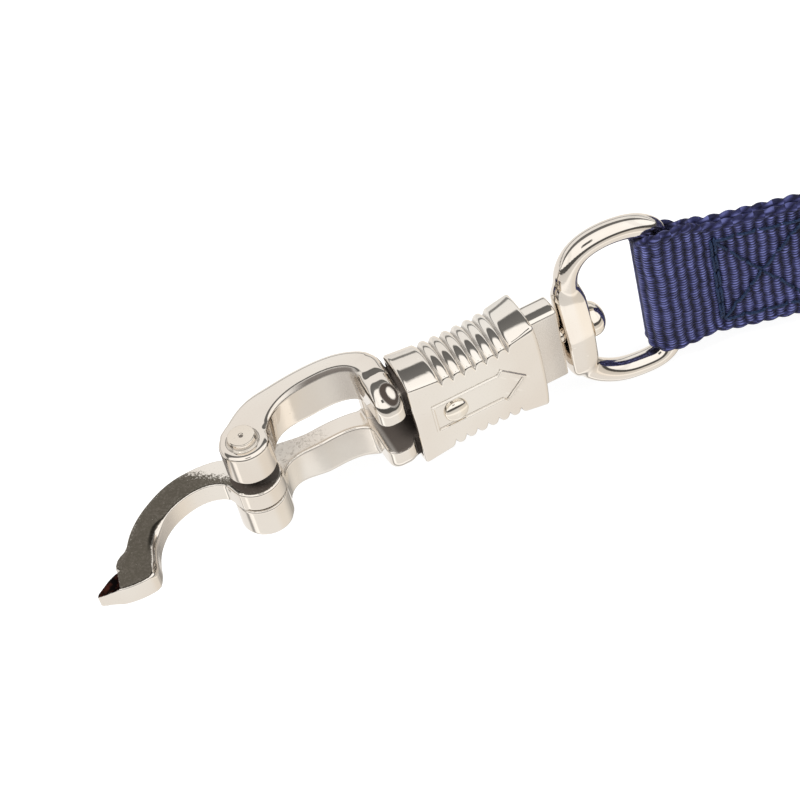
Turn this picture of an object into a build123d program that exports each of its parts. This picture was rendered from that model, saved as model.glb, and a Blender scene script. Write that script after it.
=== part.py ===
from build123d import *
import math
import os

os.makedirs("parts", exist_ok=True)

# Lead rope: a webbing lead looped and stitched to the swivel eye of a quick-release snap.
# The hook is swung open, so it reaches towards -X from the hinge pin.
# Frame: origin at the centre of the closed snap's eye, where a halter ring passes, on the
# swivel axis. +X runs from the snap towards the webbing, +Z runs along the hinge pin and
# the front is -Y. Sizes are in mm.
# Outlines and X stations are measured from the hinge pin, which stands at X = -EYE_X.
# HALF_Y and HALF_Z name half sizes either side of the swivel axis.

# ---- driving dimensions ----
EYE_X = 13.0                     # from the hinge pin to the centre of the closed eye

# hinge
PIN_Y = 1.0
PIN_D = 3.0
PIN_HEAD_D = 5.0
PIN_HEAD_H = 1.2
HOOK_BORE_D = PIN_D + 0.1
KNUCKLE_R = 4.4

# fork body
ARM_INNER_Z = 3.2                # each arm lies between these heights,
ARM_OUTER_Z = 9.4                # above and below the middle plane
NOSE_X0, NOSE_X1 = 24.0, 31.6
NOSE_HALF_Y, NOSE_HALF_Z = 3.3, 7.7
SHANK_HALF_Y, SHANK_HALF_Z = 2.2, 7.2
TAIL_HALF_Z = 7.95
TAIL_X0, BODY_END = 49.0, 53.9

# hook plate
HOOK_Z0, HOOK_Z1 = -3.0, 0.9

# release sleeve
SLEEVE_HALF_Y = 4.75             # to the flat faces
SLEEVE_TRAVEL = 5.4
SLEEVE_GAP = 0.05                # running clearance per side, sleeve on body

# release pin and spring
RELEASE_X = 33.1
RELEASE_D = 2.4
RELEASE_HEAD_D = 4.2
RELEASE_HEAD_H = 1.2
SPRING_BORE_D = 3.3
SPRING_OD = 3.0
SPRING_WIRE_D = 0.45
SPRING_PITCH = 1.3
SPRING_X0, SPRING_X1 = 34.45, 49.0

# swivel rivet and eye
RIVET_D = 3.0
RIVET_BORE_D = RIVET_D + 0.12
RIVET_HEAD_D = 6.1
RIVET_HEAD_H = 3.0
EYE_WIRE_D = 4.5
BOSS_X0, BOSS_X1 = 54.9, 59.4
BOSS_HALF_Y, BOSS_HALF_Z = 3.0, 8.6
NEAR_BAR_X, FAR_BAR_X = 57.0, 73.5
EYE_HALF_W = 15.5                # to the centre line of the wire
EYE_NEAR_R, EYE_FAR_R = 8.2, 4.0  # centre line radii of the corners

# webbing
WEB_W = 25.0
WEB_T = 1.5
LAYER_GAP = 0.1                  # between two stitched layers
LAYER_PITCH = WEB_T + LAYER_GAP
YAW = -17.0                      # direction in which the strap leaves the eye, degrees about Z
LOOP_R = (EYE_WIRE_D + WEB_T) / 2 + 0.35  # centre line radius round the far bar
BEND_R = 2.0                     # bends where the loop closes into the stitched layers
TAIL_LEN = 19.5                  # stitched-back layer, from the first stitch line
LEAD_IN = 30.0                   # running layer, from the first stitch line
DROP_LEN = 58.0                  # sloping run down to the coil
RUN_OUT = 8.0                    # straight run before the coil turns
COIL_Z0 = -17.8                  # underside of the coil, just below the eye
COIL_R = 60.0
COIL_STEP = 1.75                 # loss of radius with each half turn
COIL_HALF_TURNS = 13
HEM_LEN = 28.0

# thread
STITCH_LEN = 3.1
STITCH_GAP = 0.6
STITCH_PITCH = STITCH_LEN + STITCH_GAP
THREAD_W = 0.7
THREAD_T = 0.35


# ---- helpers ----
def plane_at_x(x):
    """Plane facing +X whose x axis is Y and whose y axis is Z."""
    return Plane(origin=(x - EYE_X, 0, 0), x_dir=(0, 1, 0), z_dir=(1, 0, 0))


def plane_at_y(y):
    """Plane facing -Y, with x measured from the hinge pin and y along Z."""
    return Plane(origin=(-EYE_X, y, 0), x_dir=(1, 0, 0), z_dir=(0, -1, 0))


def plane_at_z(z):
    """Plane facing +Z, with x measured from the hinge pin."""
    return Plane(origin=(-EYE_X, 0, z), x_dir=(1, 0, 0), z_dir=(0, 0, 1))


def barrel(half_y, flat_z, crown_z):
    """Outline on plane_at_x: flat faces at +-half_y, ends crowned from flat_z to crown_z."""
    ThreePointArc((half_y, flat_z), (0, crown_z), (-half_y, flat_z))
    Line((-half_y, flat_z), (-half_y, -flat_z))
    ThreePointArc((-half_y, -flat_z), (0, -crown_z), (half_y, -flat_z))
    Line((half_y, -flat_z), (half_y, flat_z))


def save(piece, name):
    piece.part.label = name
    export_step(piece.part, f"parts/{name}.step")


class Strip:
    """Walks a smooth centre line of lines and arcs, recording both edges of a flat strip."""

    def __init__(self, x, y, heading_deg):
        self.x = x
        self.y = y
        self.heading = math.radians(heading_deg)
        self.left = []
        self.right = []

    def edge_points(self, x, y, heading):
        """Left and right edge points beside a centre line point."""
        off_x = -WEB_T / 2 * math.sin(heading)
        off_y = WEB_T / 2 * math.cos(heading)
        return (x + off_x, y + off_y), (x - off_x, y - off_y)

    def record(self, start, middle, end):
        self.left.append((start[0], middle[0], end[0]))
        self.right.append((start[1], middle[1], end[1]))

    def line(self, length):
        start = self.edge_points(self.x, self.y, self.heading)
        self.x += length * math.cos(self.heading)
        self.y += length * math.sin(self.heading)
        self.record(start, (None, None), self.edge_points(self.x, self.y, self.heading))

    def arc(self, radius, sweep_deg):
        """Positive sweeps turn left."""
        reach = radius if sweep_deg > 0 else -radius
        centre_x = self.x - reach * math.sin(self.heading)
        centre_y = self.y + reach * math.cos(self.heading)
        sweep_rad = math.radians(sweep_deg)

        def pose(fraction):
            heading = self.heading + sweep_rad * fraction
            x = centre_x + reach * math.sin(heading)
            y = centre_y - reach * math.cos(heading)
            return x, y, heading

        start = self.edge_points(self.x, self.y, self.heading)
        middle = self.edge_points(*pose(0.5))
        self.x, self.y, self.heading = pose(1.0)
        self.record(start, middle, self.edge_points(self.x, self.y, self.heading))

    def outline(self):
        """Draws the closed outline in the open BuildLine."""
        chain = list(self.left)
        chain.append((self.left[-1][2], None, self.right[-1][2]))
        chain += [(end, middle, start) for start, middle, end in reversed(self.right)]
        chain.append((self.right[0][0], None, self.left[0][0]))
        for start, middle, end in chain:
            if middle is None:
                Line(start, end)
            else:
                ThreePointArc(start, middle, end)


# ---- fork body: two curved arms, slotted nose, shank and exposed tail, cast in one ----
# x, y from the hinge to the nose: the arms' outer edge, and their edge round the eye
ARM_OUTER = [
    (-2.9, 4.31), (-0.6, 6.45), (3.46, 8.84), (8.31, 10.0), (13.96, 10.5),
    (19.2, 10.1), (22.6, 8.8), (24.8, 6.9), (25.5, 4.5),
]
ARM_INNER = [
    (3.85, -1.13), (4.76, 1.88), (6.96, 4.10), (10.09, 5.30), (13.82, 5.72),
    (17.4, 5.6), (20.0, 4.5), (21.3, 2.4), (21.5, 0.0),
]
# x, y of the slot between the arms
ARM_SLOT = [
    (-8, 14), (20.9, 14), (20.9, 4.9), (22.6, 3.9), (32.0, -1.0), (32.0, -8), (-8, -8),
]
SHANK_OVERLAP = 0.5              # start of the shank inside the nose
SPRING_BORE_END = SPRING_X1 + 0.9

with BuildPart() as fork_body:
    with BuildSketch(plane_at_z(-ARM_OUTER_Z)):
        with BuildLine():
            Spline(*ARM_OUTER, tangents=[(0.75, 0.66), (0.0, -1.0)])
            Line(ARM_OUTER[-1], (25.5, -2.9))
            ThreePointArc((25.5, -2.9), (23.5, -4.9), (21.5, -2.9))
            Line((21.5, -2.9), ARM_INNER[-1])
            Spline(*reversed(ARM_INNER), tangents=[(0.0, 1.0), (-0.44, -0.9)])
            ThreePointArc(ARM_INNER[0], (-1.6, -3.1), ARM_OUTER[0])
        make_face()
    extrude(amount=2 * ARM_OUTER_Z)
    # knuckles
    with BuildSketch(plane_at_z(-ARM_OUTER_Z)):
        with Locations((0, PIN_Y)):
            Circle(KNUCKLE_R)
    extrude(amount=2 * ARM_OUTER_Z)
    # nose under the sleeve, shank and tail
    with BuildSketch(plane_at_x(NOSE_X0)):
        Rectangle(2 * NOSE_HALF_Y, 2 * NOSE_HALF_Z)
    extrude(amount=NOSE_X1 - NOSE_X0)
    with BuildSketch(plane_at_x(NOSE_X1 - SHANK_OVERLAP)):
        Rectangle(2 * SHANK_HALF_Y, 2 * SHANK_HALF_Z)
    extrude(amount=BODY_END - 1.0 - NOSE_X1)
    with BuildSketch(plane_at_x(TAIL_X0)):
        with BuildLine():
            barrel(SHANK_HALF_Y, TAIL_HALF_Z - 0.35, TAIL_HALF_Z)
        make_face()
    extrude(amount=BODY_END - TAIL_X0)
    # crown the tops and undersides of the arms
    with BuildSketch(plane_at_x(-10.0)):
        Rectangle(40, 40)
        with BuildLine():
            barrel(11.0, 7.6, ARM_OUTER_Z)
        make_face(mode=Mode.SUBTRACT)
    extrude(amount=36.0, mode=Mode.SUBTRACT)
    # slot between the arms; its floor slants to lie along the closed hook's end face
    with BuildSketch(plane_at_z(-ARM_INNER_Z)):
        with BuildLine():
            Polyline(*ARM_SLOT, close=True)
        make_face()
    extrude(amount=2 * ARM_INNER_Z, mode=Mode.SUBTRACT)
    # hinge pin holes
    with Locations(plane_at_z(ARM_OUTER_Z + 1) * Location((0, PIN_Y, 0))):
        Hole(PIN_D / 2, depth=2 * ARM_OUTER_Z + 2)
    # cross slot in which the release pin travels
    with BuildSketch(plane_at_y(6)):
        with Locations((RELEASE_X + SLEEVE_TRAVEL / 2, 0)):
            SlotOverall(SLEEVE_TRAVEL + RELEASE_D + 0.3, RELEASE_D + 0.1)
    extrude(amount=12, mode=Mode.SUBTRACT)
    # spring bore, then rivet bore
    with BuildSketch(plane_at_x(RELEASE_X)):
        Circle(SPRING_BORE_D / 2)
    extrude(amount=SPRING_BORE_END - RELEASE_X, mode=Mode.SUBTRACT)
    with BuildSketch(plane_at_x(SPRING_X1)):
        Circle(RIVET_D / 2)
    extrude(amount=10, mode=Mode.SUBTRACT)
    # soften any long rims still at full height on the arms
    rims = [
        edge
        for edge in fork_body.edges()
        if abs(abs(edge.center().Z) - ARM_OUTER_Z) < 0.02
        and edge.length > 15
        and edge.center().Y > 4
    ]
    if rims:
        # guards against a rim too tight for the fillet, which then stays sharp
        try:
            fillet(rims, radius=0.8)
        except Exception:
            pass
save(fork_body, "fork_body")

# ---- hinge pin, headed above and peened below ----
# radius, z up the pin's profile
PIN_HEAD_TOP = ARM_OUTER_Z + PIN_HEAD_H
PIN_PROFILE = [
    (0, -ARM_OUTER_Z - 0.5), (1.6, -ARM_OUTER_Z - 0.5),
    (2.0, -ARM_OUTER_Z - 0.25), (2.0, -ARM_OUTER_Z),
    (PIN_D / 2, -ARM_OUTER_Z), (PIN_D / 2, ARM_OUTER_Z),
    (PIN_HEAD_D / 2, ARM_OUTER_Z), (PIN_HEAD_D / 2, PIN_HEAD_TOP - 0.2),
    (PIN_HEAD_D / 2 - 0.2, PIN_HEAD_TOP), (0.6, PIN_HEAD_TOP), (0, PIN_HEAD_TOP - 0.3),
]

with BuildPart() as hinge_pin:
    with BuildSketch(plane_at_y(PIN_Y)):
        with BuildLine():
            Polyline(*PIN_PROFILE, close=True)
        make_face()
    revolve(axis=Axis((-EYE_X, PIN_Y, 0), (0, 0, 1)))
save(hinge_pin, "hinge_pin")

# ---- hook: one curved plate with a barb and a wedge tip ----
# x, y of the edge from the barb to the knuckle, and of the edge from the knuckle to the tip
HOOK_OUTER = [
    (-25.95, -3.45), (-24.89, -2.34), (-21.96, 1.61), (-19.06, 4.86),
    (-15.32, 7.24), (-10.73, 8.55), (-6.47, 8.05), (-2.6, 4.55),
]
HOOK_INNER = [
    (-3.95, -0.94), (-5.0, 0.2), (-6.5, 1.6), (-8.4, 2.25), (-10.79, 2.05),
    (-14.48, 1.17), (-18.95, -0.80), (-21.1, -4.3), (-21.44, -8.99),
]
HOOK_T = HOOK_Z1 - HOOK_Z0

with BuildPart() as hook:
    with BuildSketch(plane_at_z(HOOK_Z0)):
        with BuildLine():
            Polyline(HOOK_INNER[-1], (-30.39, -7.75), (-25.9, -4.75), HOOK_OUTER[0])
            Spline(*HOOK_OUTER, tangents=[(0.6, 0.8), (0.78, -0.62)])
            ThreePointArc(HOOK_OUTER[-1], (4.35, 0.35), HOOK_INNER[0])
            Spline(*HOOK_INNER, tangents=[(-0.5, 0.86), (-0.05, -1.0)])
        make_face()
    extrude(amount=HOOK_T)
    with BuildSketch(plane_at_z(HOOK_Z0)):
        with Locations((0, PIN_Y)):
            Circle(KNUCKLE_R)
    extrude(amount=HOOK_T)
    with BuildSketch(plane_at_z(HOOK_Z0 - 1)):
        with Locations((0, PIN_Y)):
            Circle(HOOK_BORE_D / 2)
    extrude(amount=HOOK_T + 2, mode=Mode.SUBTRACT)
save(hook, "hook")

# ---- release sleeve: crowned sides with finger grooves, flat faces with a raised arrow ----
# x, half height at the flat faces, half height at the crown
SLEEVE_STATIONS = [
    (26.1, 8.80, 10.00),
    (32.0, 8.02, 9.30),
    (38.0, 7.75, 9.05),
    (43.8, 8.12, 9.40),
    (46.8, 8.80, 9.95),
    (49.2, 9.50, 10.40),
]
SLEEVE_X0 = SLEEVE_STATIONS[0][0]
SLEEVE_X1 = SLEEVE_STATIONS[-1][0]
GROOVE_COUNT = 7
GROOVE_X0 = 31.9                 # middle of the first groove
GROOVE_PITCH = 1.98
GROOVE_W = 0.55
# half sizes of the core that the grooves leave standing
CORE_ARC_Y, CORE_SIDE_Y = 5.0, 14
CORE_EDGE_Z, CORE_CROWN_Z = 7.1, 8.6
# x, z of the arrow, which points the way the sleeve is pulled
ARROW = [
    (29.4, -2.8), (41.2, -2.8), (41.8, -3.6), (45.6, 0.0), (41.8, 3.6), (41.2, 2.8), (29.4, 2.8),
]
ARROW_MID_X = 37.0
ARROW_HOLLOW = [(ARROW_MID_X + (x - ARROW_MID_X) * 0.955, z * 0.87) for x, z in ARROW]
# start x, length, half y and half z of the body inside: nose, shank, travel over the tail
CAVITY = [
    (SLEEVE_X0 - 1, 1 + 6.0, NOSE_HALF_Y, NOSE_HALF_Z),
    (SLEEVE_X0, SLEEVE_X1 - SLEEVE_X0 + 1, SHANK_HALF_Y, SHANK_HALF_Z),
    (TAIL_X0 - SLEEVE_TRAVEL - 0.3, SLEEVE_TRAVEL + 2, SHANK_HALF_Y, TAIL_HALF_Z),
]

with BuildPart() as release_sleeve:
    for x, flat_z, crown_z in SLEEVE_STATIONS:
        with BuildSketch(plane_at_x(x)):
            with BuildLine():
                barrel(SLEEVE_HALF_Y, flat_z, crown_z)
            make_face()
    loft()
    for i in range(GROOVE_COUNT):
        with BuildSketch(plane_at_x(GROOVE_X0 - GROOVE_W / 2 + i * GROOVE_PITCH)):
            Rectangle(4 * SLEEVE_HALF_Y, 30)
            with BuildLine():
                for end in (1, -1):
                    arc_y, side_y = end * CORE_ARC_Y, end * CORE_SIDE_Y
                    edge_z = end * CORE_EDGE_Z
                    ThreePointArc((arc_y, edge_z), (0, end * CORE_CROWN_Z), (-arc_y, edge_z))
                    Line((-arc_y, edge_z), (-side_y, edge_z))
                    Line((-side_y, edge_z), (-side_y, -edge_z))
                    Line((-side_y, -edge_z), (-arc_y, -edge_z))
            make_face(mode=Mode.SUBTRACT)
        extrude(amount=GROOVE_W, mode=Mode.SUBTRACT)
    # raised outline of the arrow on the front face
    with BuildSketch(plane_at_y(-SLEEVE_HALF_Y + 0.1)):
        with BuildLine():
            Polyline(*ARROW, close=True)
        make_face()
        with BuildLine():
            Polyline(*ARROW_HOLLOW, close=True)
        make_face(mode=Mode.SUBTRACT)
    extrude(amount=0.3)
    for x, length, half_y, half_z in CAVITY:
        with BuildSketch(plane_at_x(x)):
            Rectangle(2 * (half_y + SLEEVE_GAP), 2 * (half_z + SLEEVE_GAP))
        extrude(amount=length, mode=Mode.SUBTRACT)
    # hole for the release pin
    with BuildSketch(plane_at_y(8)):
        with Locations((RELEASE_X, 0)):
            Circle(RELEASE_D / 2)
    extrude(amount=16, mode=Mode.SUBTRACT)
save(release_sleeve, "release_sleeve")

# ---- release pin: crosses the body, domed in front and peened behind the sleeve ----
PEEN_R = 1.7
release_shank_x = RELEASE_X + RELEASE_D / 2
release_rim_x = RELEASE_X + RELEASE_HEAD_D / 2
dome_top = (RELEASE_X, -SLEEVE_HALF_Y - RELEASE_HEAD_H)
dome_middle = (RELEASE_X + 0.62 * RELEASE_HEAD_D / 2, -SLEEVE_HALF_Y - 0.85 * RELEASE_HEAD_H)
dome_rim = (release_rim_x, -SLEEVE_HALF_Y - 0.3)
peen_top = (RELEASE_X, SLEEVE_HALF_Y + 0.7)

with BuildPart() as release_pin:
    with BuildSketch(plane_at_z(0)):
        with BuildLine():
            Line(peen_top, dome_top)
            ThreePointArc(dome_top, dome_middle, dome_rim)
            Polyline(
                dome_rim,
                (release_rim_x, -SLEEVE_HALF_Y),
                (release_shank_x, -SLEEVE_HALF_Y),
                (release_shank_x, SLEEVE_HALF_Y),
                (RELEASE_X + PEEN_R, SLEEVE_HALF_Y),
                (RELEASE_X + PEEN_R, SLEEVE_HALF_Y + 0.3),
                peen_top,
            )
        make_face()
    revolve(axis=Axis((RELEASE_X - EYE_X, 0, 0), (0, 1, 0)))
save(release_pin, "release_pin")

# ---- release spring: compression coil between the release pin and the swivel rivet ----
with BuildPart() as release_spring:
    path = Helix(
        pitch=SPRING_PITCH,
        height=SPRING_X1 - SPRING_X0 - SPRING_WIRE_D,
        radius=(SPRING_OD - SPRING_WIRE_D) / 2,
        center=(SPRING_X0 + SPRING_WIRE_D / 2 - EYE_X, 0, 0),
        direction=(1, 0, 0),
    )
    with BuildSketch(Plane(origin=path @ 0, z_dir=path % 0)):
        Circle(SPRING_WIRE_D / 2)
    sweep(path=path, is_frenet=True)
save(release_spring, "release_spring")

# ---- swivel rivet: domed head inside the eye, shank through the boss, peened in the body ----
rivet_start = (SPRING_X1 + 0.1, 0)
rivet_peen_r = SPRING_BORE_D / 2 - 0.02
rivet_head_r = RIVET_HEAD_D / 2
rivet_head_x = BOSS_X1 + 0.05
rivet_top = (rivet_head_x + RIVET_HEAD_H, 0)
rivet_dome = (rivet_head_x + 0.8 * RIVET_HEAD_H, 0.66 * rivet_head_r)
rivet_rim = (rivet_head_x + 0.35 * RIVET_HEAD_H, rivet_head_r)

with BuildPart() as swivel_rivet:
    with BuildSketch(plane_at_z(0)):
        with BuildLine():
            Line(rivet_start, rivet_top)
            ThreePointArc(rivet_top, rivet_dome, rivet_rim)
            Polyline(
                rivet_rim,
                (rivet_head_x, rivet_head_r),
                (rivet_head_x, RIVET_D / 2),
                (SPRING_BORE_END, RIVET_D / 2),
                (SPRING_X1 + 0.7, rivet_peen_r),
                (SPRING_X1 + 0.1, rivet_peen_r),
                rivet_start,
            )
        make_face()
    revolve(axis=Axis.X)
save(swivel_rivet, "swivel_rivet")

# ---- swivel eye: D-shaped ring with a boss, cast in one ----
ARC_INSET = 1 - math.sqrt(0.5)   # inset of a quarter arc's middle, as a share of its radius
near_inset = EYE_NEAR_R * ARC_INSET
far_inset = EYE_FAR_R * ARC_INSET
# start, middle and end of the upper corners' centre lines, x and z
near_corner = [
    (NEAR_BAR_X, EYE_HALF_W - EYE_NEAR_R),
    (NEAR_BAR_X + near_inset, EYE_HALF_W - near_inset),
    (NEAR_BAR_X + EYE_NEAR_R, EYE_HALF_W),
]
far_corner = [
    (FAR_BAR_X - EYE_FAR_R, EYE_HALF_W),
    (FAR_BAR_X - far_inset, EYE_HALF_W - far_inset),
    (FAR_BAR_X, EYE_HALF_W - EYE_FAR_R),
]

with BuildPart() as swivel_eye:
    with BuildLine(plane_at_y(0)) as ring:
        Line((NEAR_BAR_X, 0), near_corner[0])
        ThreePointArc(*near_corner)
        Line(near_corner[-1], far_corner[0])
        ThreePointArc(*far_corner)
        Line(far_corner[-1], (FAR_BAR_X, 0))
        mirror(about=Plane.XY)
    with BuildSketch(Plane(origin=(NEAR_BAR_X - EYE_X, 0, 0), z_dir=(0, 0, 1))):
        Circle(EYE_WIRE_D / 2)
    sweep(path=ring.wires()[0])
    with BuildSketch(plane_at_z(-BOSS_HALF_Z)):
        with Locations(((BOSS_X0 + BOSS_X1) / 2, 0)):
            RectangleRounded(BOSS_X1 - BOSS_X0, 2 * BOSS_HALF_Y, 1.0)
    extrude(amount=2 * BOSS_HALF_Z)
    with BuildSketch(plane_at_x(BOSS_X0 - 2)):
        Circle(RIVET_BORE_D / 2)
    extrude(amount=BOSS_X1 - BOSS_X0 + 4, mode=Mode.SUBTRACT)
save(swivel_eye, "swivel_eye")

# ---- webbing lead: looped round the far bar, stitched back, running out to a loose coil ----
STITCH_START = (80.5, -3.2)      # x, y midway between the layers at the first stitch line
along_x = math.cos(math.radians(YAW))
along_y = math.sin(math.radians(YAW))


def beside_stitch_start(offset):
    """Point at the first stitch line, offset square to the strap towards the back."""
    return STITCH_START[0] - offset * along_y, STITCH_START[1] + offset * along_x


def bar_tangent(point, side):
    """Heading of the loop where the tangent from a point touches it, and the tangent's length."""
    from_bar_x, from_bar_y = point[0] - FAR_BAR_X, point[1]
    angle = math.atan2(from_bar_y, from_bar_x)
    angle += side * math.acos(LOOP_R / math.hypot(from_bar_x, from_bar_y))
    touch_x, touch_y = LOOP_R * math.cos(angle), LOOP_R * math.sin(angle)
    heading = math.degrees(math.atan2(math.cos(angle), -math.sin(angle)))
    return heading, math.hypot(from_bar_x - touch_x, from_bar_y - touch_y)


def turn_between(heading, new_heading):
    """Signed turn in degrees, between -180 and 180."""
    return (new_heading - heading + 180) % 360 - 180


def bend_cut(turn):
    """Length that a bend takes from the straight on each side of it."""
    return BEND_R * math.tan(abs(math.radians(turn)) / 2)


back_x, back_y = beside_stitch_start(LAYER_PITCH / 2)
arrive_heading, back_leg = bar_tangent((back_x, back_y), 1)
leave_heading, front_leg = bar_tangent(beside_stitch_start(-LAYER_PITCH / 2), -1)
back_turn = turn_between(180 + YAW, arrive_heading)
front_turn = turn_between(leave_heading, YAW)

# from the end of the back layer, round the bar and out along the front layer
loop = Strip(back_x + TAIL_LEN * along_x, back_y + TAIL_LEN * along_y, 180 + YAW)
loop.line(TAIL_LEN - bend_cut(back_turn))
loop.arc(BEND_R, back_turn)
loop.line(back_leg - bend_cut(back_turn))
loop.arc(LOOP_R, (leave_heading - arrive_heading) % 360)
loop.line(front_leg - bend_cut(front_turn))
loop.arc(BEND_R, front_turn)
loop.line(LEAD_IN - bend_cut(front_turn))

coil = Strip(loop.x + DROP_LEN * along_x, loop.y + DROP_LEN * along_y, YAW)
coil.line(RUN_OUT)
for i in range(COIL_HALF_TURNS):
    coil.arc(COIL_R - i * COIL_STEP, 180)
# hem folded back inside the free end; its centre is that of the last half turn
HEM_R = COIL_R - (COIL_HALF_TURNS - 1) * COIL_STEP
HEM_INNER_R = HEM_R - LAYER_PITCH
hem_centre_x = coil.x - HEM_R * math.sin(coil.heading)
hem_centre_y = coil.y + HEM_R * math.cos(coil.heading)
hem_angle = coil.heading - math.pi / 2
coil.arc(LAYER_PITCH / 2, 180)
coil.arc(HEM_INNER_R, -math.degrees(HEM_LEN / HEM_INNER_R))

coil_mid_z = COIL_Z0 + WEB_W / 2

with BuildPart() as lead_webbing:
    with BuildSketch(plane_at_z(-WEB_W / 2)):
        with BuildLine():
            loop.outline()
        make_face()
    extrude(amount=WEB_W)
    # sloping run from the loop's level down to the coil's
    drop_start = Plane(
        origin=(loop.x - EYE_X, loop.y, 0),
        x_dir=(-along_y, along_x, 0),
        z_dir=(along_x, along_y, 0),
    )
    with BuildSketch(drop_start):
        Rectangle(WEB_T, WEB_W)
    with BuildSketch(drop_start.offset(DROP_LEN)):
        with Locations((0, coil_mid_z)):
            Rectangle(WEB_T, WEB_W)
    loft()
    with BuildSketch(plane_at_z(COIL_Z0)):
        with BuildLine():
            coil.outline()
        make_face()
    extrude(amount=WEB_W)
save(lead_webbing, "lead_webbing")

# ---- snap end stitching: a boxed cross on the front and back faces ----
BOX_X0, BOX_X1 = 1.1, 16.1       # along the strap from the first stitch line's station
BOX_HALF_Z = 9.3


def box_stitches():
    """Centre, angle and length of each stitch, in distance along the strap and z."""
    corners = [
        (BOX_X0, -BOX_HALF_Z), (BOX_X0, BOX_HALF_Z), (BOX_X1, BOX_HALF_Z), (BOX_X1, -BOX_HALF_Z),
    ]
    stitches = []
    for first, last in ((0, 1), (1, 2), (2, 3), (3, 0), (0, 2), (1, 3)):
        x, z = corners[first]
        run_x = corners[last][0] - x
        run_z = corners[last][1] - z
        length = math.hypot(run_x, run_z)
        angle = math.degrees(math.atan2(run_z, run_x))
        count = round(length / STITCH_PITCH)
        for i in range(count):
            share = (i + 0.5) / count
            centre = (x + run_x * share, z + run_z * share)
            stitches.append((*centre, angle, length / count - STITCH_GAP))
    return stitches


def snap_end_thread(side):
    """Stitches on one outer face of the strap: side -1 is the front, 1 the back."""
    face_x, face_y = beside_stitch_start(side * (WEB_T + LAYER_GAP / 2))
    face = Plane(
        origin=(face_x - EYE_X, face_y, 0),
        x_dir=(-side * along_x, -side * along_y, 0),
        z_dir=(-side * along_y, side * along_x, 0),
    )
    with BuildPart() as thread:
        with BuildSketch(face):
            for x, z, angle, length in box_stitches():
                with Locations(Location((-side * x, z, 0), (0, 0, -side * angle))):
                    SlotOverall(length, THREAD_W)
        extrude(amount=THREAD_T)
    return thread


save(snap_end_thread(-1), "snap_end_needle_thread")
save(snap_end_thread(1), "snap_end_bobbin_thread")

# ---- far end stitching: two upright rows on each face of the folded hem ----
HEM_ROWS = (4.0, 22.0)           # arc length from the fold
HEM_ROW_STITCHES = 6


def far_end_thread(radius, side):
    """Rows on the hem face of this radius: side 1 faces away from the coil's centre, -1 to it."""
    with BuildPart() as thread:
        for arc_len in HEM_ROWS:
            angle = hem_angle - arc_len / HEM_R
            out_x, out_y = side * math.cos(angle), side * math.sin(angle)
            row_x = hem_centre_x + radius * math.cos(angle)
            row_y = hem_centre_y + radius * math.sin(angle)
            row_plane = Plane(
                origin=(row_x - EYE_X, row_y, coil_mid_z),
                x_dir=(-out_y, out_x, 0),
                z_dir=(out_x, out_y, 0),
            )
            with BuildSketch(row_plane):
                with GridLocations(0, STITCH_PITCH, 1, HEM_ROW_STITCHES):
                    SlotOverall(STITCH_LEN, THREAD_W, rotation=90)
            extrude(amount=THREAD_T)
    return thread


save(far_end_thread(HEM_R + WEB_T / 2, 1), "far_end_needle_thread")
save(far_end_thread(HEM_INNER_R - WEB_T / 2 - 0.02, -1), "far_end_bobbin_thread")
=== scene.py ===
import math

import bpy
import numpy as np
from mathutils import Matrix, Vector

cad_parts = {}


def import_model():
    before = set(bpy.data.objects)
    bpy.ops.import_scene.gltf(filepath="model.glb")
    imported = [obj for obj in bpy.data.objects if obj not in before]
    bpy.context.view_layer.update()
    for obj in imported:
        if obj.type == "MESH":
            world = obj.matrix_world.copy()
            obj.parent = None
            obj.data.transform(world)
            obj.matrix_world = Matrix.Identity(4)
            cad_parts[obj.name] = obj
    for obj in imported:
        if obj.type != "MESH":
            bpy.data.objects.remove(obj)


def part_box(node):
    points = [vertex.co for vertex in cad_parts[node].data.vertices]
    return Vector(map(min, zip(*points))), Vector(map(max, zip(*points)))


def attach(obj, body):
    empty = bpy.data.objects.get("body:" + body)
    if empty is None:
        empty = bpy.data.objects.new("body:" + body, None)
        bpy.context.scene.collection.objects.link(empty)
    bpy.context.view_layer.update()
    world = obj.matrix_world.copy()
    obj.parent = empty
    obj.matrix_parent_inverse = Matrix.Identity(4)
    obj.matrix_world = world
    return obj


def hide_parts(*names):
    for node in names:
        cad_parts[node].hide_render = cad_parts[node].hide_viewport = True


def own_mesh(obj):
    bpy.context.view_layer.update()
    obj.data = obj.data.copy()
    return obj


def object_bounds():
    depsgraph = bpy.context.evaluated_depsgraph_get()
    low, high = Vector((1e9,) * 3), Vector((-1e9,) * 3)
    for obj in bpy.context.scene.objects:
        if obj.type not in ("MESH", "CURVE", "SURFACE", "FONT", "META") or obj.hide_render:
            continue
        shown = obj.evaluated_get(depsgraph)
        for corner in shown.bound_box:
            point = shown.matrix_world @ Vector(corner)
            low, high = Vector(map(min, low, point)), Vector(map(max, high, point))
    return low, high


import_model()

CAD_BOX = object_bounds()

# ------------------------------------------------------------------ datum
# Everything is drawn in millimetres from the hinge pin's station on the swivel axis and then shifted along x to where
# the CAD hinge pin is; the coil is dropped to the bottom of the CAD model.
_lo, _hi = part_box("hinge_pin")
PIN_X = (_lo.x + _hi.x) / 2 * 1000.0
PIN_Y = (_lo.y + _hi.y) / 2 * 1000.0
FLOOR_Z = CAD_BOX[0][2] * 1000.0


def to_row(co):
    co = np.asarray(co, float).copy()
    co[:, 0] += PIN_X
    return co * 0.001


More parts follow.
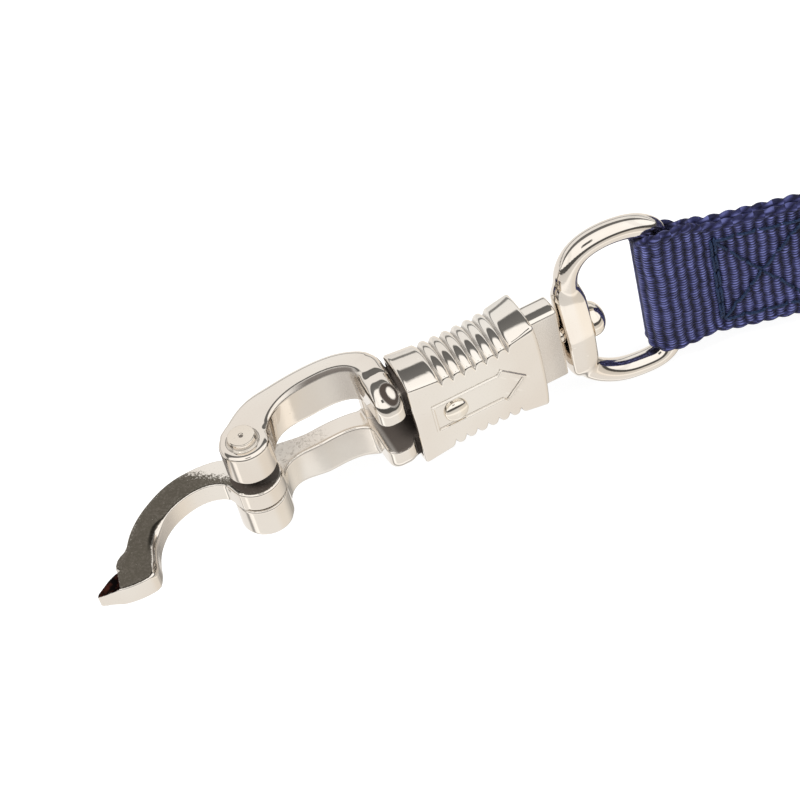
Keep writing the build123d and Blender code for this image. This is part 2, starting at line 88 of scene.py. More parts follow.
# ------------------------------------------------------------------ meshes
def mesh_object(name, co, faces, normals=None, uv=None, attrs=None, smooth=True):
    """co in working millimetres, faces an (n, 4) or (n, 3) array or a list of both kinds."""
    me = bpy.data.meshes.new(name)
    if isinstance(faces, (list, tuple)):
        starts, total, loops = [], 0, []
        for f in faces:
            f = np.asarray(f, np.int64)
            k = f.shape[1]
            starts.append(np.arange(len(f)) * k + total)
            total += f.size
            loops.append(f.ravel())
        starts, loops = np.concatenate(starts), np.concatenate(loops)
    else:
        faces = np.asarray(faces, np.int64)
        starts, loops = np.arange(len(faces)) * faces.shape[1], faces.ravel()
    me.vertices.add(len(co))
    me.vertices.foreach_set("co", to_row(co).astype(np.float32).ravel())
    me.loops.add(len(loops))
    me.loops.foreach_set("vertex_index", loops.astype(np.int32))
    me.polygons.add(len(starts))
    me.polygons.foreach_set("loop_start", starts.astype(np.int32))
    me.polygons.foreach_set("use_smooth", np.full(len(starts), smooth))
    me.update(calc_edges=True)
    me.validate(clean_customdata=False)
    if uv is not None:
        layer = me.uv_layers.new(name="UVMap")
        idx = np.zeros(len(me.loops), np.int32)
        me.loops.foreach_get("vertex_index", idx)
        layer.data.foreach_set("uv", np.asarray(uv, np.float32)[idx].ravel())
    for key, value in (attrs or {}).items():
        a = me.attributes.new(key, "FLOAT", "POINT")
        a.data.foreach_set("value", np.asarray(value, np.float32))
    if normals is not None:
        me.normals_split_custom_set_from_vertices([tuple(n) for n in np.asarray(normals, float)])
    ob = bpy.data.objects.new(name, me)
    bpy.context.scene.collection.objects.link(ob)
    return ob


# ------------------------------------------------------------------ implicit solids
def rmax(a, b, r):
    """Intersection with a rounded edge of radius r."""
    if r <= 0:
        return np.maximum(a, b)
    return np.hypot(np.maximum(a + r, 0), np.maximum(b + r, 0)) + np.minimum(np.maximum(a, b) + r, 0) - r


def rmin(a, b, r):
    """Union with a fillet of radius r."""
    return -rmax(-a, -b, r)


def most(*parts):
    """Sharp intersection of any number of fields."""
    out = parts[0]
    for p in parts[1:]:
        out = np.maximum(out, p)
    return out


def spline(points, n=24, closed=False, t0=None, t1=None):
    """Points along a smooth curve through the given points."""
    P = np.asarray(points, float)
    d = np.r_[0, np.cumsum(np.linalg.norm(np.diff(P, axis=0), axis=1) ** 0.5)]
    m = len(P)
    # natural cubic spline on centripetal parameters
    h = np.diff(d)
    A, B = np.zeros((m, m)), np.zeros((m, P.shape[1]))
    for i in range(1, m - 1):
        A[i, i - 1], A[i, i], A[i, i + 1] = h[i - 1], 2 * (h[i - 1] + h[i]), h[i]
        B[i] = 6 * ((P[i + 1] - P[i]) / h[i] - (P[i] - P[i - 1]) / h[i - 1])
    A[0, 0] = A[-1, -1] = 1
    M = np.linalg.solve(A, B)
    out = []
    for i in range(m - 1):
        t = np.linspace(0, 1, n, endpoint=(i == m - 2))[:, None] * h[i]
        a = (M[i + 1] - M[i]) / (6 * h[i])
        b = M[i] / 2
        c = (P[i + 1] - P[i]) / h[i] - h[i] * (2 * M[i] + M[i + 1]) / 6
        out.append(P[i] + t * (c + t * (b + t * a)))
    return np.concatenate(out)


def arc_pts(cx, cy, r, a0, a1, n=24):
    a = np.radians(np.linspace(a0, a1, n))
    return np.stack([cx + r * np.cos(a), cy + r * np.sin(a)], 1)


def poly_sd(P, X, Y):
    """Signed distance to a closed polygon, negative inside."""
    P = np.asarray(P, float)
    Q = np.roll(P, -1, 0)
    d = np.full(X.shape, 1e9)
    inside = np.zeros(X.shape, bool)
    for (ax, ay), (bx, by) in zip(P, Q):
        ex, ey = bx - ax, by - ay
        L = ex * ex + ey * ey
        if L < 1e-12:
            continue
        wx, wy = X - ax, Y - ay
        t = np.clip((wx * ex + wy * ey) / L, 0, 1)
        d = np.minimum(d, (wx - ex * t) ** 2 + (wy - ey * t) ** 2)
        if ay != by:
            cross = ((Y >= ay) & (Y < by)) | ((Y >= by) & (Y < ay))
            inside ^= cross & (X < ax + ex * (Y - ay) / ey)
    return np.where(inside, -1, 1) * np.sqrt(d)


def line_d(P, X, Y, closed=False):
    P = np.asarray(P, float)
    d = np.full(X.shape, 1e9)
    ends = list(zip(P[:-1], P[1:])) + ([(P[-1], P[0])] if closed else [])
    for (ax, ay), (bx, by) in ends:
        ex, ey = bx - ax, by - ay
        L = max(ex * ex + ey * ey, 1e-12)
        wx, wy = X - ax, Y - ay
        t = np.clip((wx * ex + wy * ey) / L, 0, 1)
        d = np.minimum(d, (wx - ex * t) ** 2 + (wy - ey * t) ** 2)
    return np.sqrt(d)


class Grid:
    def __init__(self, lo, hi, h):
        self.lo, self.h = np.array(lo, float), h
        self.n = np.ceil((np.array(hi, float) - self.lo) / h).astype(int) + 1
        self.x, self.y, self.z = (self.lo[i] + h * np.arange(self.n[i]) for i in range(3))
        self.X, self.Y, self.Z = self.x[:, None, None], self.y[None, :, None], self.z[None, None, :]

    def xy(self, P, fn=poly_sd):
        X, Y = np.meshgrid(self.x, self.y, indexing="ij")
        return fn(P, X, Y)[:, :, None]

    def xz(self, P, fn=poly_sd):
        X, Z = np.meshgrid(self.x, self.z, indexing="ij")
        return fn(P, X, Z)[:, None, :]


def sample(V, q):
    """Trilinear samples of V at fractional grid positions q."""
    q = np.clip(q, 0, np.array(V.shape) - 1.001)
    i = q.astype(int)
    f = q - i
    out = 0
    for dx in (0, 1):
        wx = f[:, 0] if dx else 1 - f[:, 0]
        for dy in (0, 1):
            wy = f[:, 1] if dy else 1 - f[:, 1]
            for dz in (0, 1):
                wz = f[:, 2] if dz else 1 - f[:, 2]
                out = out + wx * wy * wz * V[i[:, 0] + dx, i[:, 1] + dy, i[:, 2] + dz]
    return out


def solid(name, g, V, piece_attrs=None):
    """Meshes the zero level of V with quads whose corners are pulled onto the surface; normals come from V's slope."""
    V = np.ascontiguousarray(np.broadcast_to(V, tuple(g.n)), np.float32)
    S = V < 0
    c = np.zeros(tuple(g.n - 1), np.int8)
    for dx in (0, 1):
        for dy in (0, 1):
            for dz in (0, 1):
                c += S[dx : g.n[0] - 1 + dx, dy : g.n[1] - 1 + dy, dz : g.n[2] - 1 + dz]
    act = np.argwhere((c > 0) & (c < 8))
    index = np.full(tuple(g.n - 1), -1, np.int64)
    index[act[:, 0], act[:, 1], act[:, 2]] = np.arange(len(act))
    corner = {}
    for dx in (0, 1):
        for dy in (0, 1):
            for dz in (0, 1):
                corner[dx, dy, dz] = V[act[:, 0] + dx, act[:, 1] + dy, act[:, 2] + dz]
    pos, cnt = np.zeros((len(act), 3)), np.zeros(len(act))
    for a in corner:
        for ax in range(3):
            if a[ax] == 0:
                b = list(a)
                b[ax] = 1
                va, vb = corner[a], corner[tuple(b)]
                m = (va < 0) != (vb < 0)
                t = np.where(m, va / np.where(m, va - vb, 1), 0)
                p = np.array(a, float)[None, :].repeat(len(act), 0)
                p[:, ax] = t
                pos[m] += p[m]
                cnt[m] += 1
    q = act + pos / cnt[:, None]
    G = [np.gradient(V, axis=k) for k in range(3)]
    for _ in range(3):
        v = sample(V, q)
        gr = np.stack([sample(k, q) for k in G], 1)
        n2 = np.maximum((gr ** 2).sum(1), 1e-9)
        step = (v / n2)[:, None] * gr
        L = np.linalg.norm(step, axis=1)
        step *= (np.minimum(L, 0.5) / np.maximum(L, 1e-12))[:, None]
        q = q - step
    gr = np.stack([sample(k, q) for k in G], 1)
    normals = gr / np.maximum(np.linalg.norm(gr, axis=1), 1e-9)[:, None]
    faces = []
    for ax in range(3):
        u, w = [(1, 2), (2, 0), (0, 1)][ax]
        sl_a = [slice(None)] * 3
        sl_b = [slice(None)] * 3
        sl_a[ax], sl_b[ax] = slice(0, -1), slice(1, None)
        A, B = S[tuple(sl_a)], S[tuple(sl_b)]
        edge = np.argwhere(A != B)
        ok = (edge[:, u] > 0) & (edge[:, w] > 0) & (edge[:, u] < g.n[u] - 1) & (edge[:, w] < g.n[w] - 1)
        edge = edge[ok]
        flip = ~A[edge[:, 0], edge[:, 1], edge[:, 2]]
        quad = []
        for du, dw in ((1, 1), (0, 1), (0, 0), (1, 0)):
            e = edge.copy()
            e[:, u] -= du
            e[:, w] -= dw
            quad.append(index[e[:, 0], e[:, 1], e[:, 2]])
        quad = np.stack(quad, 1)
        quad[flip] = quad[flip][:, ::-1]
        faces.append(quad)
    faces = np.concatenate(faces)
    co = g.lo + q * g.h
    return mesh_object(name, co, faces, normals=normals, attrs=piece_attrs(co, normals) if piece_attrs else None)


def barrel_sd(Y, Z, hd, zf, za, r=0.0):
    """Flat faces at |y| = hd, crowned ends from zf at the faces to za on the middle plane."""
    side = np.abs(Z) - (zf + (za - zf) * (1 - (np.clip(Y, -hd, hd) / hd) ** 2))
    slope = 2 * (za - zf) * np.abs(Y) / hd ** 2
    return rmax(side / np.sqrt(1 + slope ** 2), np.abs(Y) - hd, r)


# ------------------------------------------------------------------ fork body
KN_R, ARM_Z0, ARM_Z1 = 4.4, 3.2, 9.4
OUTER = [(-2.9, 4.31), (-0.6, 6.45), (3.46, 8.84), (8.31, 10.0), (13.96, 10.5), (19.2, 10.1), (22.6, 8.8), (24.8, 6.9), (25.5, 4.5)]
INNER = [(3.85, -1.13), (4.76, 1.88), (6.96, 4.10), (10.09, 5.30), (13.82, 5.72), (17.4, 5.6), (20.0, 4.5), (21.3, 2.4), (21.5, 0.0)]


def ease(x, a, b):
    """Smooth step from 0 at a to 1 at b; a may be the larger."""
    t = np.clip((x - a) / (b - a), 0, 1)
    return t * t * (3 - 2 * t)


def blend_max(a, b, r):
    """rmax with a radius that may vary from place to place."""
    r = np.maximum(r, 1e-4)
    return np.hypot(np.maximum(a + r, 0), np.maximum(b + r, 0)) + np.minimum(np.maximum(a, b) + r, 0) - r


def working(co):
    """Vertex positions as given to a piece are already working millimetres."""
    return co[:, 0], co[:, 1], co[:, 2]


def fork_paint(co, n):
    X, Y, Z = working(co)
    # painted shade: dark colour in the slot between the arms, in the gap between the root lobes and the sleeve, and
    # round the hinge inside the slot
    slot = ease(X, 20.9, 22.2) * (np.abs(Z) < 3.36) * (X < 32.2)
    gap = ease(X, 25.2, 25.55) * (1 - ease(X, 26.5, 27.1))
    behind = ease(X, 4.2, 2.2) * (np.abs(Z) < 3.3) * (np.hypot(X, Y - PIN_Y) < 4.0)
    painted_shade_and_dark_reflection = np.clip(np.maximum(np.maximum(slot * 0.96, gap * 0.97), behind * 0.9), 0, 1)
    # the deep reflection of the dark surroundings, painted dark on the root lobe's end, on the knuckle's left limb and
    # along the upper arm's rounded inner edge
    r = np.hypot((X - 23.75) / 1.45, (Y + 2.75) / 1.75)
    glint = np.hypot((X - 24.05) / 0.62, (Y + 2.85) / 0.95)
    blob = ease(r, 1.05, 0.88) * ease(glint, 0.80, 1.10) * (Z > 5.5) * (n[:, 2] > 0.2)
    rim = (Z > 8.4) * ease(n[:, 2], 0.30, 0.45) * ease(n[:, 2], 0.97, 0.90) * (n[:, 1] < -0.15) * ease(X, 7.5, 14.0) * (1 - ease(X, 20.6, 21.6)) * (Y > 1.0)
    limb = ease(n[:, 0] * -0.97 + n[:, 1] * 0.23, 0.80, 0.93) * (Z > 3.3) * (np.hypot(X, Y - PIN_Y) < 4.9)
    painted_shade_and_dark_reflection = np.maximum(painted_shade_and_dark_reflection, np.maximum(np.maximum(1.0 * blob, 0.85 * limb), 0.9 * rim))
    # walls that face the darker corners of the room: the arch near its root, and the tail by the eye
    arch = (np.abs(n[:, 2]) < 0.5) * (n[:, 1] < -0.3) * (np.abs(Z) > 3.3) * (Y > -1.0) * (X < 21.6) * np.where(Z > 0, 0.40 * ease(X, 15.5, 20.0), 0.16) * ease(X, 5.0, 8.0)
    tailface = (n[:, 1] < -0.9) * (X > 47.0) * (0.14 + 0.20 * ease(X, 50.5, 53.8))
    painted_shade_and_dark_reflection = np.maximum(painted_shade_and_dark_reflection, np.maximum(arch, tailface))
    # painted shade on the lower arm's top face under the upper arm, strongest by the knuckle; the same mask also
    # raises the roughness there
    rough = ((Z < -2.9) & (Z > -3.6) & (n[:, 2] > 0.6) & (X < 21)) * ease(X, 16.0, 7.0)
    return {"painted_shade_and_dark_reflection": painted_shade_and_dark_reflection, "rough_and_shaded": rough.astype(float)}


def fork():
    g = Grid((-5.2, -6.0, -10.0), (54.8, 11.5, 10.0), 0.15)
    X, Y, Z = g.X, g.Y, g.Z
    outer = spline(OUTER, 14)
    inner = spline(INNER, 14)
    # region under the outer curve, and the hole inside the arch
    whole = np.concatenate([outer, [(25.6, 4.0), (25.6, -30), (-40, -30), (-2.9 - 18, 4.31 - 20)]])
    hole = np.concatenate([inner, [(21.5, -30), (-6, -30), (3.4, -1.6)]])
    d_out = g.xy(whole)
    # the inner walls lean inwards with depth
    lean = np.interp(g.z, [-9.4, -3.2, -3.1, 3.1, 3.2, 9.4], [2.6, 1.4, 1.4, 1.0, 1.0, -0.55])
    shift = ease(g.x, 4.5, 13.0)[:, None] * lean[None, :]
    flat = g.xy(hole)[:, :, 0]
    j = (g.y[None, :, None] + shift[:, None, :] - g.lo[1]) / g.h
    j = np.clip(j, 0, g.n[1] - 1.001)
    j0 = j.astype(int)
    ix = np.arange(g.n[0])[:, None, None]
    d_hole = flat[ix, j0] * (1 - (j - j0)) + flat[ix, np.minimum(j0 + 1, g.n[1] - 1)] * (j - j0)
    # the lower arm is the slimmer one: its back edge lies further forward
    back = ease(g.x, 2.0, 12.0) * (1 - ease(g.x, 20.0, 23.5)) * 2.5
    flat_o = g.xy(whole)[:, :, 0]
    j = np.clip((g.y[None, :] + back[:, None] - g.lo[1]) / g.h, 0, g.n[1] - 1.001)
    j0 = j.astype(int)
    ix = np.arange(g.n[0])[:, None]
    low_o = flat_o[ix, j0] * (1 - (j - j0)) + flat_o[ix, np.minimum(j0 + 1, g.n[1] - 1)] * (j - j0)
    d_out = np.where(Z < 0, low_o[:, :, None], d_out)
    az = np.abs(Z)
    arm2 = most(d_out, -2.95 - X, X - 25.55, 1.0 - Y)
    ring = np.hypot(X, Y - PIN_Y)
    kn2 = ring - KN_R + 0 * Z
    # the upper knuckle is drawn in a little, the lower one stands a little proud
    trim = np.where(Z > 0, 0.42, -0.08) * (1 - ease(X, -0.5, 6.5))
    body2 = rmin(arm2, kn2, 0.3) + trim
    kn2 = kn2 + trim
    f = blend_max(body2, az - ARM_Z1, 0.75 + 0.95 * ease(X, 1.0, 8.0))
    f = rmax(f, -rmax(d_hole, -kn2, 0.5), 0.75)
    # lobes at the arm roots: rounded fingers that bend down at the front
    lobe2 = g.xy([(22.7, 4.6), (23.6, 4.6), (23.6, -2.9), (22.7, -2.9)]) - 2.0
    drop = np.clip((5.8 - Y) / 10.6, 0, 1.2)
    crown = az - (9.36 - 0.10 * drop - 1.9 * np.clip((0.1 - Y) / 4.6, 0, 1.2) ** 2)
    lobe = rmax(lobe2, crown, 1.9)
    f = rmin(f, lobe, 0.5)
    # nose, shank and tail
    nose = most(np.abs(Y) - 3.25, az - 7.6, X - 31.6, 23.2 - X)
    f = rmin(f, nose, 0.4)
    shank = most(np.abs(Y) - 2.2, az - 7.2, X - 50.0, 30.0 - X)
    f = np.minimum(f, shank)
    tail = barrel_sd(Y, Z, 2.2, 7.55, 7.95, 0.5) + 0 * X
    tail = rmax(tail, np.abs(X - 51.3) - 2.6, 0.45)
    f = np.minimum(f, tail)
    # slot between the arms
    slot = rmax(g.xy([(-12, 18), (20.9, 18), (20.9, 4.9), (22.6, 3.9), (32.0, -1.0), (32.0, -12), (-12, -12)]), az - ARM_Z0, 0.2)
    f = rmax(f, -slot, 0.35)
    # hinge pin hole, spring bore, release pin slot
    f = np.maximum(f, 1.49 - ring + 0 * Z)
    bore = np.maximum(np.hypot(Y, Z) - 1.65 + 0 * X, np.abs(X - 41.5) - 8.4)
    f = np.maximum(f, -bore)
    sx = np.abs(X - 35.8) - 2.7
    pin_slot = np.hypot(np.maximum(sx, 0), Z) - 1.25 + 0 * Y
    f = np.maximum(f, -pin_slot)
    return solid("fork_body_casting", g, f, fork_paint)


# ------------------------------------------------------------------ hook
HK_OUT = [(-23.35, -0.75), (-22.55, 0.55), (-21.35, 2.1), (-19.34, 4.0), (-16.85, 5.68), (-13.96, 7.1), (-10.95, 7.85), (-8.28, 7.98), (-6.45, 7.85), (-4.4, 7.4), (-2.6, 6.6), (-0.9, 5.5)]
HK_IN = [(-3.6, -1.3), (-4.1, 0.3), (-4.83, 1.53), (-5.87, 2.41), (-7.22, 3.05), (-8.9, 3.34), (-11.22, 3.15), (-13.94, 2.27), (-15.81, 1.12), (-17.3, -0.3), (-18.75, -2.37), (-19.65, -4.61), (-20.15, -6.3), (-20.75, -7.6)]
HK_END = [(-21.15, -8.15), (-22.0, -8.52), (-24.5, -8.6), (-26.8, -8.2), (-29.9, -7.15), (-30.8, -6.7), (-30.5, -6.2), (-28.2, -5.1), (-26.0, -4.45), (-26.35, -3.95), (-26.2, -3.3), (-25.6, -2.4), (-24.9, -1.85), (-24.0, -1.4)]
TIP = [np.array((-26.75, -4.5, 0.9)), np.array((-27.6, -8.1, 0.9)), np.array((-30.8, -6.7, 0.0))]


def tip_plane(X, Y, Z):
    n = np.cross(TIP[1] - TIP[0], TIP[2] - TIP[0])
    n = n / np.linalg.norm(n)
    n = n if n[2] > 0 else -n
    return (X - TIP[0][0]) * n[0] + (Y - TIP[0][1]) * n[1] + (Z - TIP[0][2]) * n[2]


def hook_profile():
    return np.concatenate([spline(HK_OUT, 8), [(0, 1.2)], spline(HK_IN, 8), spline(HK_END[:6], 6), HK_END[6:]])


def hook_paint(co, n):
    X, Y, Z = working(co)
    # painted dark reflection on the ground top face; it stops where the outer side near the knuckle is bright
    top = ease(n[:, 2], 0.80, 0.97) * (Z > -1.2)
    edge = -poly_sd(hook_profile(), X, Y)
    # the outer side near the knuckle is bright again
    light = ease(Y - (8.2 - 0.9 * (X + 9.9)), -2.6, 2.6)
    # painted near-black reflection on the tip's facet
    facet = (np.abs(tip_plane(X, Y, Z)) < 0.12) * (X < -26.0) * (n[:, 2] > 0.5)
    # painted shade on the knuckle under the fork's upper arm and on the inner wall of the bend
    under = (np.hypot(X, Y - PIN_Y) < 4.0) * (Z > 0.5)
    inner = (np.abs(n[:, 2]) < 0.5) * ease(n[:, 0], 0.25, 0.60) * (n[:, 1] < 0.2) * ease(X, -7.0, -10.5) * ease(X, -21.5, -19.5)
    under = np.maximum(under, 0.33 * inner)
    return {"painted_top_reflection": np.clip(top * (1 - light) * (1 - facet), 0, 1), "facet": facet.astype(float), "edge_mm": edge, "painted_shade_and_dark_reflection": under * 0.9}


def hook():
    g = Grid((-31.6, -10.2, -3.8), (5.4, 9.8, 1.7), 0.11)
    X, Y, Z = g.X, g.Y, g.Z
    d = g.xy(hook_profile())
    z0, z1 = -3.0, 0.9
    mid, half = (z0 + z1) / 2, (z1 - z0) / 2
    # the inner edge is rounded off more and more towards the tip
    near_in = ease(g.xy(spline(HK_IN, 8), line_d) - g.xy(spline(HK_OUT, 8), line_d), 0.6, -1.2)
    r = 0.26 + 1.25 * ease(X, -15.2, -18.6) * ease(X, -22.6, -20.6) * near_in
    r = np.where(Z > mid, r, 0.30 + 0.8 * ease(X, -27.0, -29.4))
    plate = blend_max(d, np.abs(Z - mid) - half, r)
    kn = rmax(np.hypot(X, Y - PIN_Y) - KN_R, np.abs(Z - mid) - half, 0.5)
    f = rmin(plate, kn, 0.9)
    f = rmax(f, tip_plane(X, Y, Z), 0.12)
    f = np.maximum(f, 1.55 - np.hypot(X, Y - PIN_Y) + 0 * Z)
    return solid("hook_casting", g, f, hook_paint)


# ------------------------------------------------------------------ release sleeve
ST_X = np.array([26.1, 32.0, 38.0, 43.8, 46.8, 49.2])
ST_F = np.array([8.80, 8.02, 7.75, 8.12, 8.80, 9.50])
ST_A = np.array([10.0, 9.35, 9.10, 9.40, 9.95, 10.40])
ARROW = [(29.4, -2.8), (41.2, -2.8), (41.8, -3.6), (45.6, 0.0), (41.8, 3.6), (41.2, 2.8), (29.4, 2.8)]


def smooth_fit(x, xs, ys):
    """Smooth curve through a few stations."""
    P = spline(np.stack([xs, ys], 1), 30)
    return np.interp(x, P[:, 0], P[:, 1])


def sleeve_paint(co, n):
    X, Y, Z = working(co)
    # painted shade in the finger-groove valleys and in the cavity behind the sleeve's mouth
    near = np.min(np.abs(X[:, None] - (31.9 + 1.98 * np.arange(7))[None, :]), 1)
    valley = ease(near, 0.34, 0.06) * (np.abs(n[:, 1]) < 0.9) * (np.abs(Z) > 6.9)
    inside = ((np.abs(Y) < 3.6) & (np.abs(Z) < 7.9) & (X < 32.3) & (X > 25.6)) * 1.0
    return {"painted_shade_and_dark_reflection": np.maximum(0.45 * valley, inside * ease(X, 25.7, 26.3) * 0.95)}


def sleeve():
    g = Grid((25.4, -5.8, -11.2), (49.9, 5.8, 11.2), 0.105)
    X, Y, Z = g.X, g.Y, g.Z
    zf = smooth_fit(g.x, ST_X, ST_F)[:, None, None]
    za = smooth_fit(g.x, ST_X, ST_A)[:, None, None]
    # finger grooves: narrow valleys between convex ribs, running out on the flat faces
    near = np.min(np.abs(g.x[:, None] - (31.9 + 1.98 * np.arange(7))[None, :]), 1)[:, None, None]
    v = np.clip(near / 0.99, 0, 1)
    cut = (1 - v) ** 2.6
    yy = np.clip(np.abs(Y) / 4.75, 0, 1.1)
    crown = zf + (za - zf) * (1 - yy ** 2)
    deep = 0.55 + 1.0 * yy ** 5
    side = np.abs(Z) - (crown - deep * cut)
    slope = 2 * (za - zf) * yy / 4.75
    side = side / np.sqrt(1 + slope ** 2 + (1.6 * cut) ** 2)
    r = 0.36 - 0.22 * cut + 0.35 * ease(X, 45.5, 48.6)
    f = blend_max(side, np.abs(Y) - 4.75, r)
    bow = 0.5 * np.clip(np.abs(Z) / 9.5, 0, 1) ** 3 * ease(X, 44.0, 48.0)
    ends = np.abs(X - 37.65) - 11.55 + 0.10 * (1 - yy ** 2) * (X < 37) + bow
    f = rmax(f, ends, 0.62)
    # raised arrow outline on the front face
    ridge = g.xz(ARROW, lambda P, a, b: line_d(P, a, b, closed=True)) - 0.20
    ridge = rmax(ridge, np.abs(Y + 4.75) - 0.34, 0.12)
    f = rmin(f, ridge, 0.05)
    # cavity
    cav = most(np.abs(Y) - 3.35 - 0.5 * ease(X, 27.6, 26.3), np.abs(Z) - 7.75, X - 32.1, 20 - X)
    f = rmax(f, -cav, 0.2)
    f = rmax(f, -(np.maximum(np.abs(Y) - 2.25, np.abs(Z) - 7.25) + 0 * X), 0.15)
    pocket = most(np.abs(Y) - 2.25, np.abs(Z) - 8.0, 43.3 - X)
    f = rmax(f, -pocket, 0.15)
    f = np.maximum(f, 1.19 - np.hypot(X - 33.1, Z) + 0 * Y)
    return solid("release_sleeve_casting", g, f, sleeve_paint)


# ------------------------------------------------------------------ swivel eye
def eye():
    g = Grid((54.2, -3.9, -18.6), (76.6, 3.9, 18.6), 0.14)
    X, Y, Z = g.X, g.Y, g.Z
    path = spline([(57.0, 0), (57.0, 5.0), (57.05, 9.5), (57.8, 12.9), (60.1, 15.6), (63.8, 16.6), (67.4, 16.3), (70.5, 15.2), (72.9, 13.2), (73.6, 11.2), (73.6, 5.0),
                   (73.6, 0), (73.6, -6.0), (73.6, -11.4), (73.0, -14.1), (71.0, -15.55), (67.4, -15.6), (63.9, -14.8), (60.6, -12.9), (58.2, -10.3), (57.15, -7.0), (57.0, -3.0), (57.0, -0.5)], 8)
    d2 = g.xz(path, lambda P, a, b: line_d(P, a, b, closed=True))
    ring = np.hypot(d2, Y) - 2.0
    # boss: flat block with a gently crowned front and back, tapering into the wire
    az = np.abs(Z)
    halfd = 3.0 - 0.95 * (az / 9.5) ** 1.8 - 0.13 * np.maximum(Z + 0.6, 0)
    boss = rmax(np.abs(X - 57.15) - 2.25 + 0.25 * (az / 9.5) ** 2, (np.abs(Y) - halfd), 0.6)
    boss = rmax(boss, az - 9.4 + 0.35 * (X - 57.15), 2.4)
    f = rmin(ring, boss, 2.2)
    f = np.maximum(f, 1.56 - np.hypot(Y, Z) + 0 * X)
    return solid("swivel_eye_casting", g, f)


# ------------------------------------------------------------------ turned pins, as lathe profiles
def lathe(name, profile, origin, axis, n=96, paint=None):
    """profile is (radius, height) pairs, walked with rounded corners; axis is 'x', 'y' or 'z'."""
    P = np.asarray(profile, float)
    a = np.linspace(0, 2 * np.pi, n, endpoint=False)
    rings = []
    for r, h in P:
        r = max(r, 1e-4)
        rings.append(np.stack([r * np.cos(a), r * np.sin(a), np.full(n, h)], 1))
    co = np.concatenate(rings)
    m = len(P)
    idx = np.arange(m * n).reshape(m, n)
    q = np.stack([idx[:-1], np.roll(idx[:-1], -1, 1), np.roll(idx[1:], -1, 1), idx[1:]], -1).reshape(-1, 4)
    lo, hi = len(co), len(co) + 1
    co = np.concatenate([co, [(0, 0, P[0, 1]), (0, 0, P[-1, 1])]])
    t0 = np.stack([idx[0], np.full(n, lo), np.roll(idx[0], -1)], 1)
    t1 = np.stack([idx[-1], np.roll(idx[-1], -1), np.full(n, hi)], 1)
    if axis == "x":
        co = co[:, [2, 0, 1]]
    elif axis == "y":
        co = co[:, [1, 2, 0]]
    co = co + np.asarray(origin, float)
    return mesh_object(name, co, [q, t0, t1], attrs={"painted_shade_and_dark_reflection": paint(co)} if paint else None)


def rounded(corners, k=7):
    """Replaces each (radius, height, fillet) corner by a small arc."""
    out = []
    C = [np.array(c[:2], float) for c in corners]
    for i, c in enumerate(corners):
        r = c[2] if len(c) > 2 else 0
        if r <= 0 or i in (0, len(corners) - 1):
            out.append(C[i])
            continue
        u, v = C[i - 1] - C[i], C[i + 1] - C[i]
        r = min(r, np.linalg.norm(u) * 0.49, np.linalg.norm(v) * 0.49)
        u, v = u / np.linalg.norm(u), v / np.linalg.norm(v)
        a, b = C[i] + u * r, C[i] + v * r
        for t in np.linspace(0, 1, k):
            out.append((1 - t) ** 2 * a + 2 * t * (1 - t) * C[i] + t * t * b)
    return out


def hinge_pin():
    top = ARM_Z1
    prof = rounded([(0.02, -top - 0.5), (1.3, -top - 0.5, 0.4), (2.0, -top - 0.2, 0.2), (2.0, -top, 0.05), (1.5, -top, 0.05), (1.5, -3.5), (1.5, -3.3), (1.5, 3.3), (1.5, 3.5), (1.5, top, 0.02),
                    (2.78, top + 0.0), (2.52, top + 0.10, 0.1), (2.34, top + 0.35, 0.2), (2.28, top + 0.8, 0.2), (2.22, top + 1.2, 0.2), (0.42, top + 1.17, 0.12), (0.22, top + 1.0, 0.1), (0.02, top + 0.98)])
    # painted shade on the pin where it sits inside the knuckle, in the dimple on its head and at the lower side of the
    # head
    return lathe("hinge_pin_turned", prof, (0, PIN_Y, 0), "z", paint=lambda co: np.maximum(0.95 * (np.abs(co[:, 2]) < 3.6), np.maximum(0.9 * (np.hypot(co[:, 0], co[:, 1] - PIN_Y) < 0.3) * (co[:, 2] > 9), 0.30 * (np.hypot(co[:, 0], co[:, 1] - PIN_Y) > 2.3) * (co[:, 2] < 10.3) * (co[:, 2] > 9.38))))


def release_pin():
    prof = [(0.02, -5.95)]
    for t in np.linspace(0.12, 1, 12):
        a = t * math.pi / 2
        prof.append((2.1 * math.sin(a), -4.95 - 1.0 * math.cos(a) ** 1.0))
    prof += rounded([(2.1, -4.95), (2.1, -4.75, 0.05), (1.19, -4.75, 0.05), (1.19, 4.75, 0.05), (1.7, 4.75, 0.05), (1.7, 5.0, 0.15), (0.9, 5.35, 0.3), (0.02, 5.45)])[1:]
    return lathe("release_pin_turned", prof, (33.1, 0, 0), "y")


def swivel_rivet():
    prof = rounded([(0.02, 49.1), (1.62, 49.1, 0.1), (1.62, 49.75, 0.1), (1.5, 49.9, 0.05), (1.5, 59.45, 0.03), (3.05, 59.45, 0.12), (3.05, 60.1)])
    for t in np.linspace(0.05, 0.99, 16):
        a = t * math.pi / 2
        prof.append((3.05 * math.cos(a), 60.1 + 2.35 * math.sin(a)))
    prof.append((0.02, 62.45))
    return lathe("swivel_rivet_turned", prof, (0, 0, 0), "x")


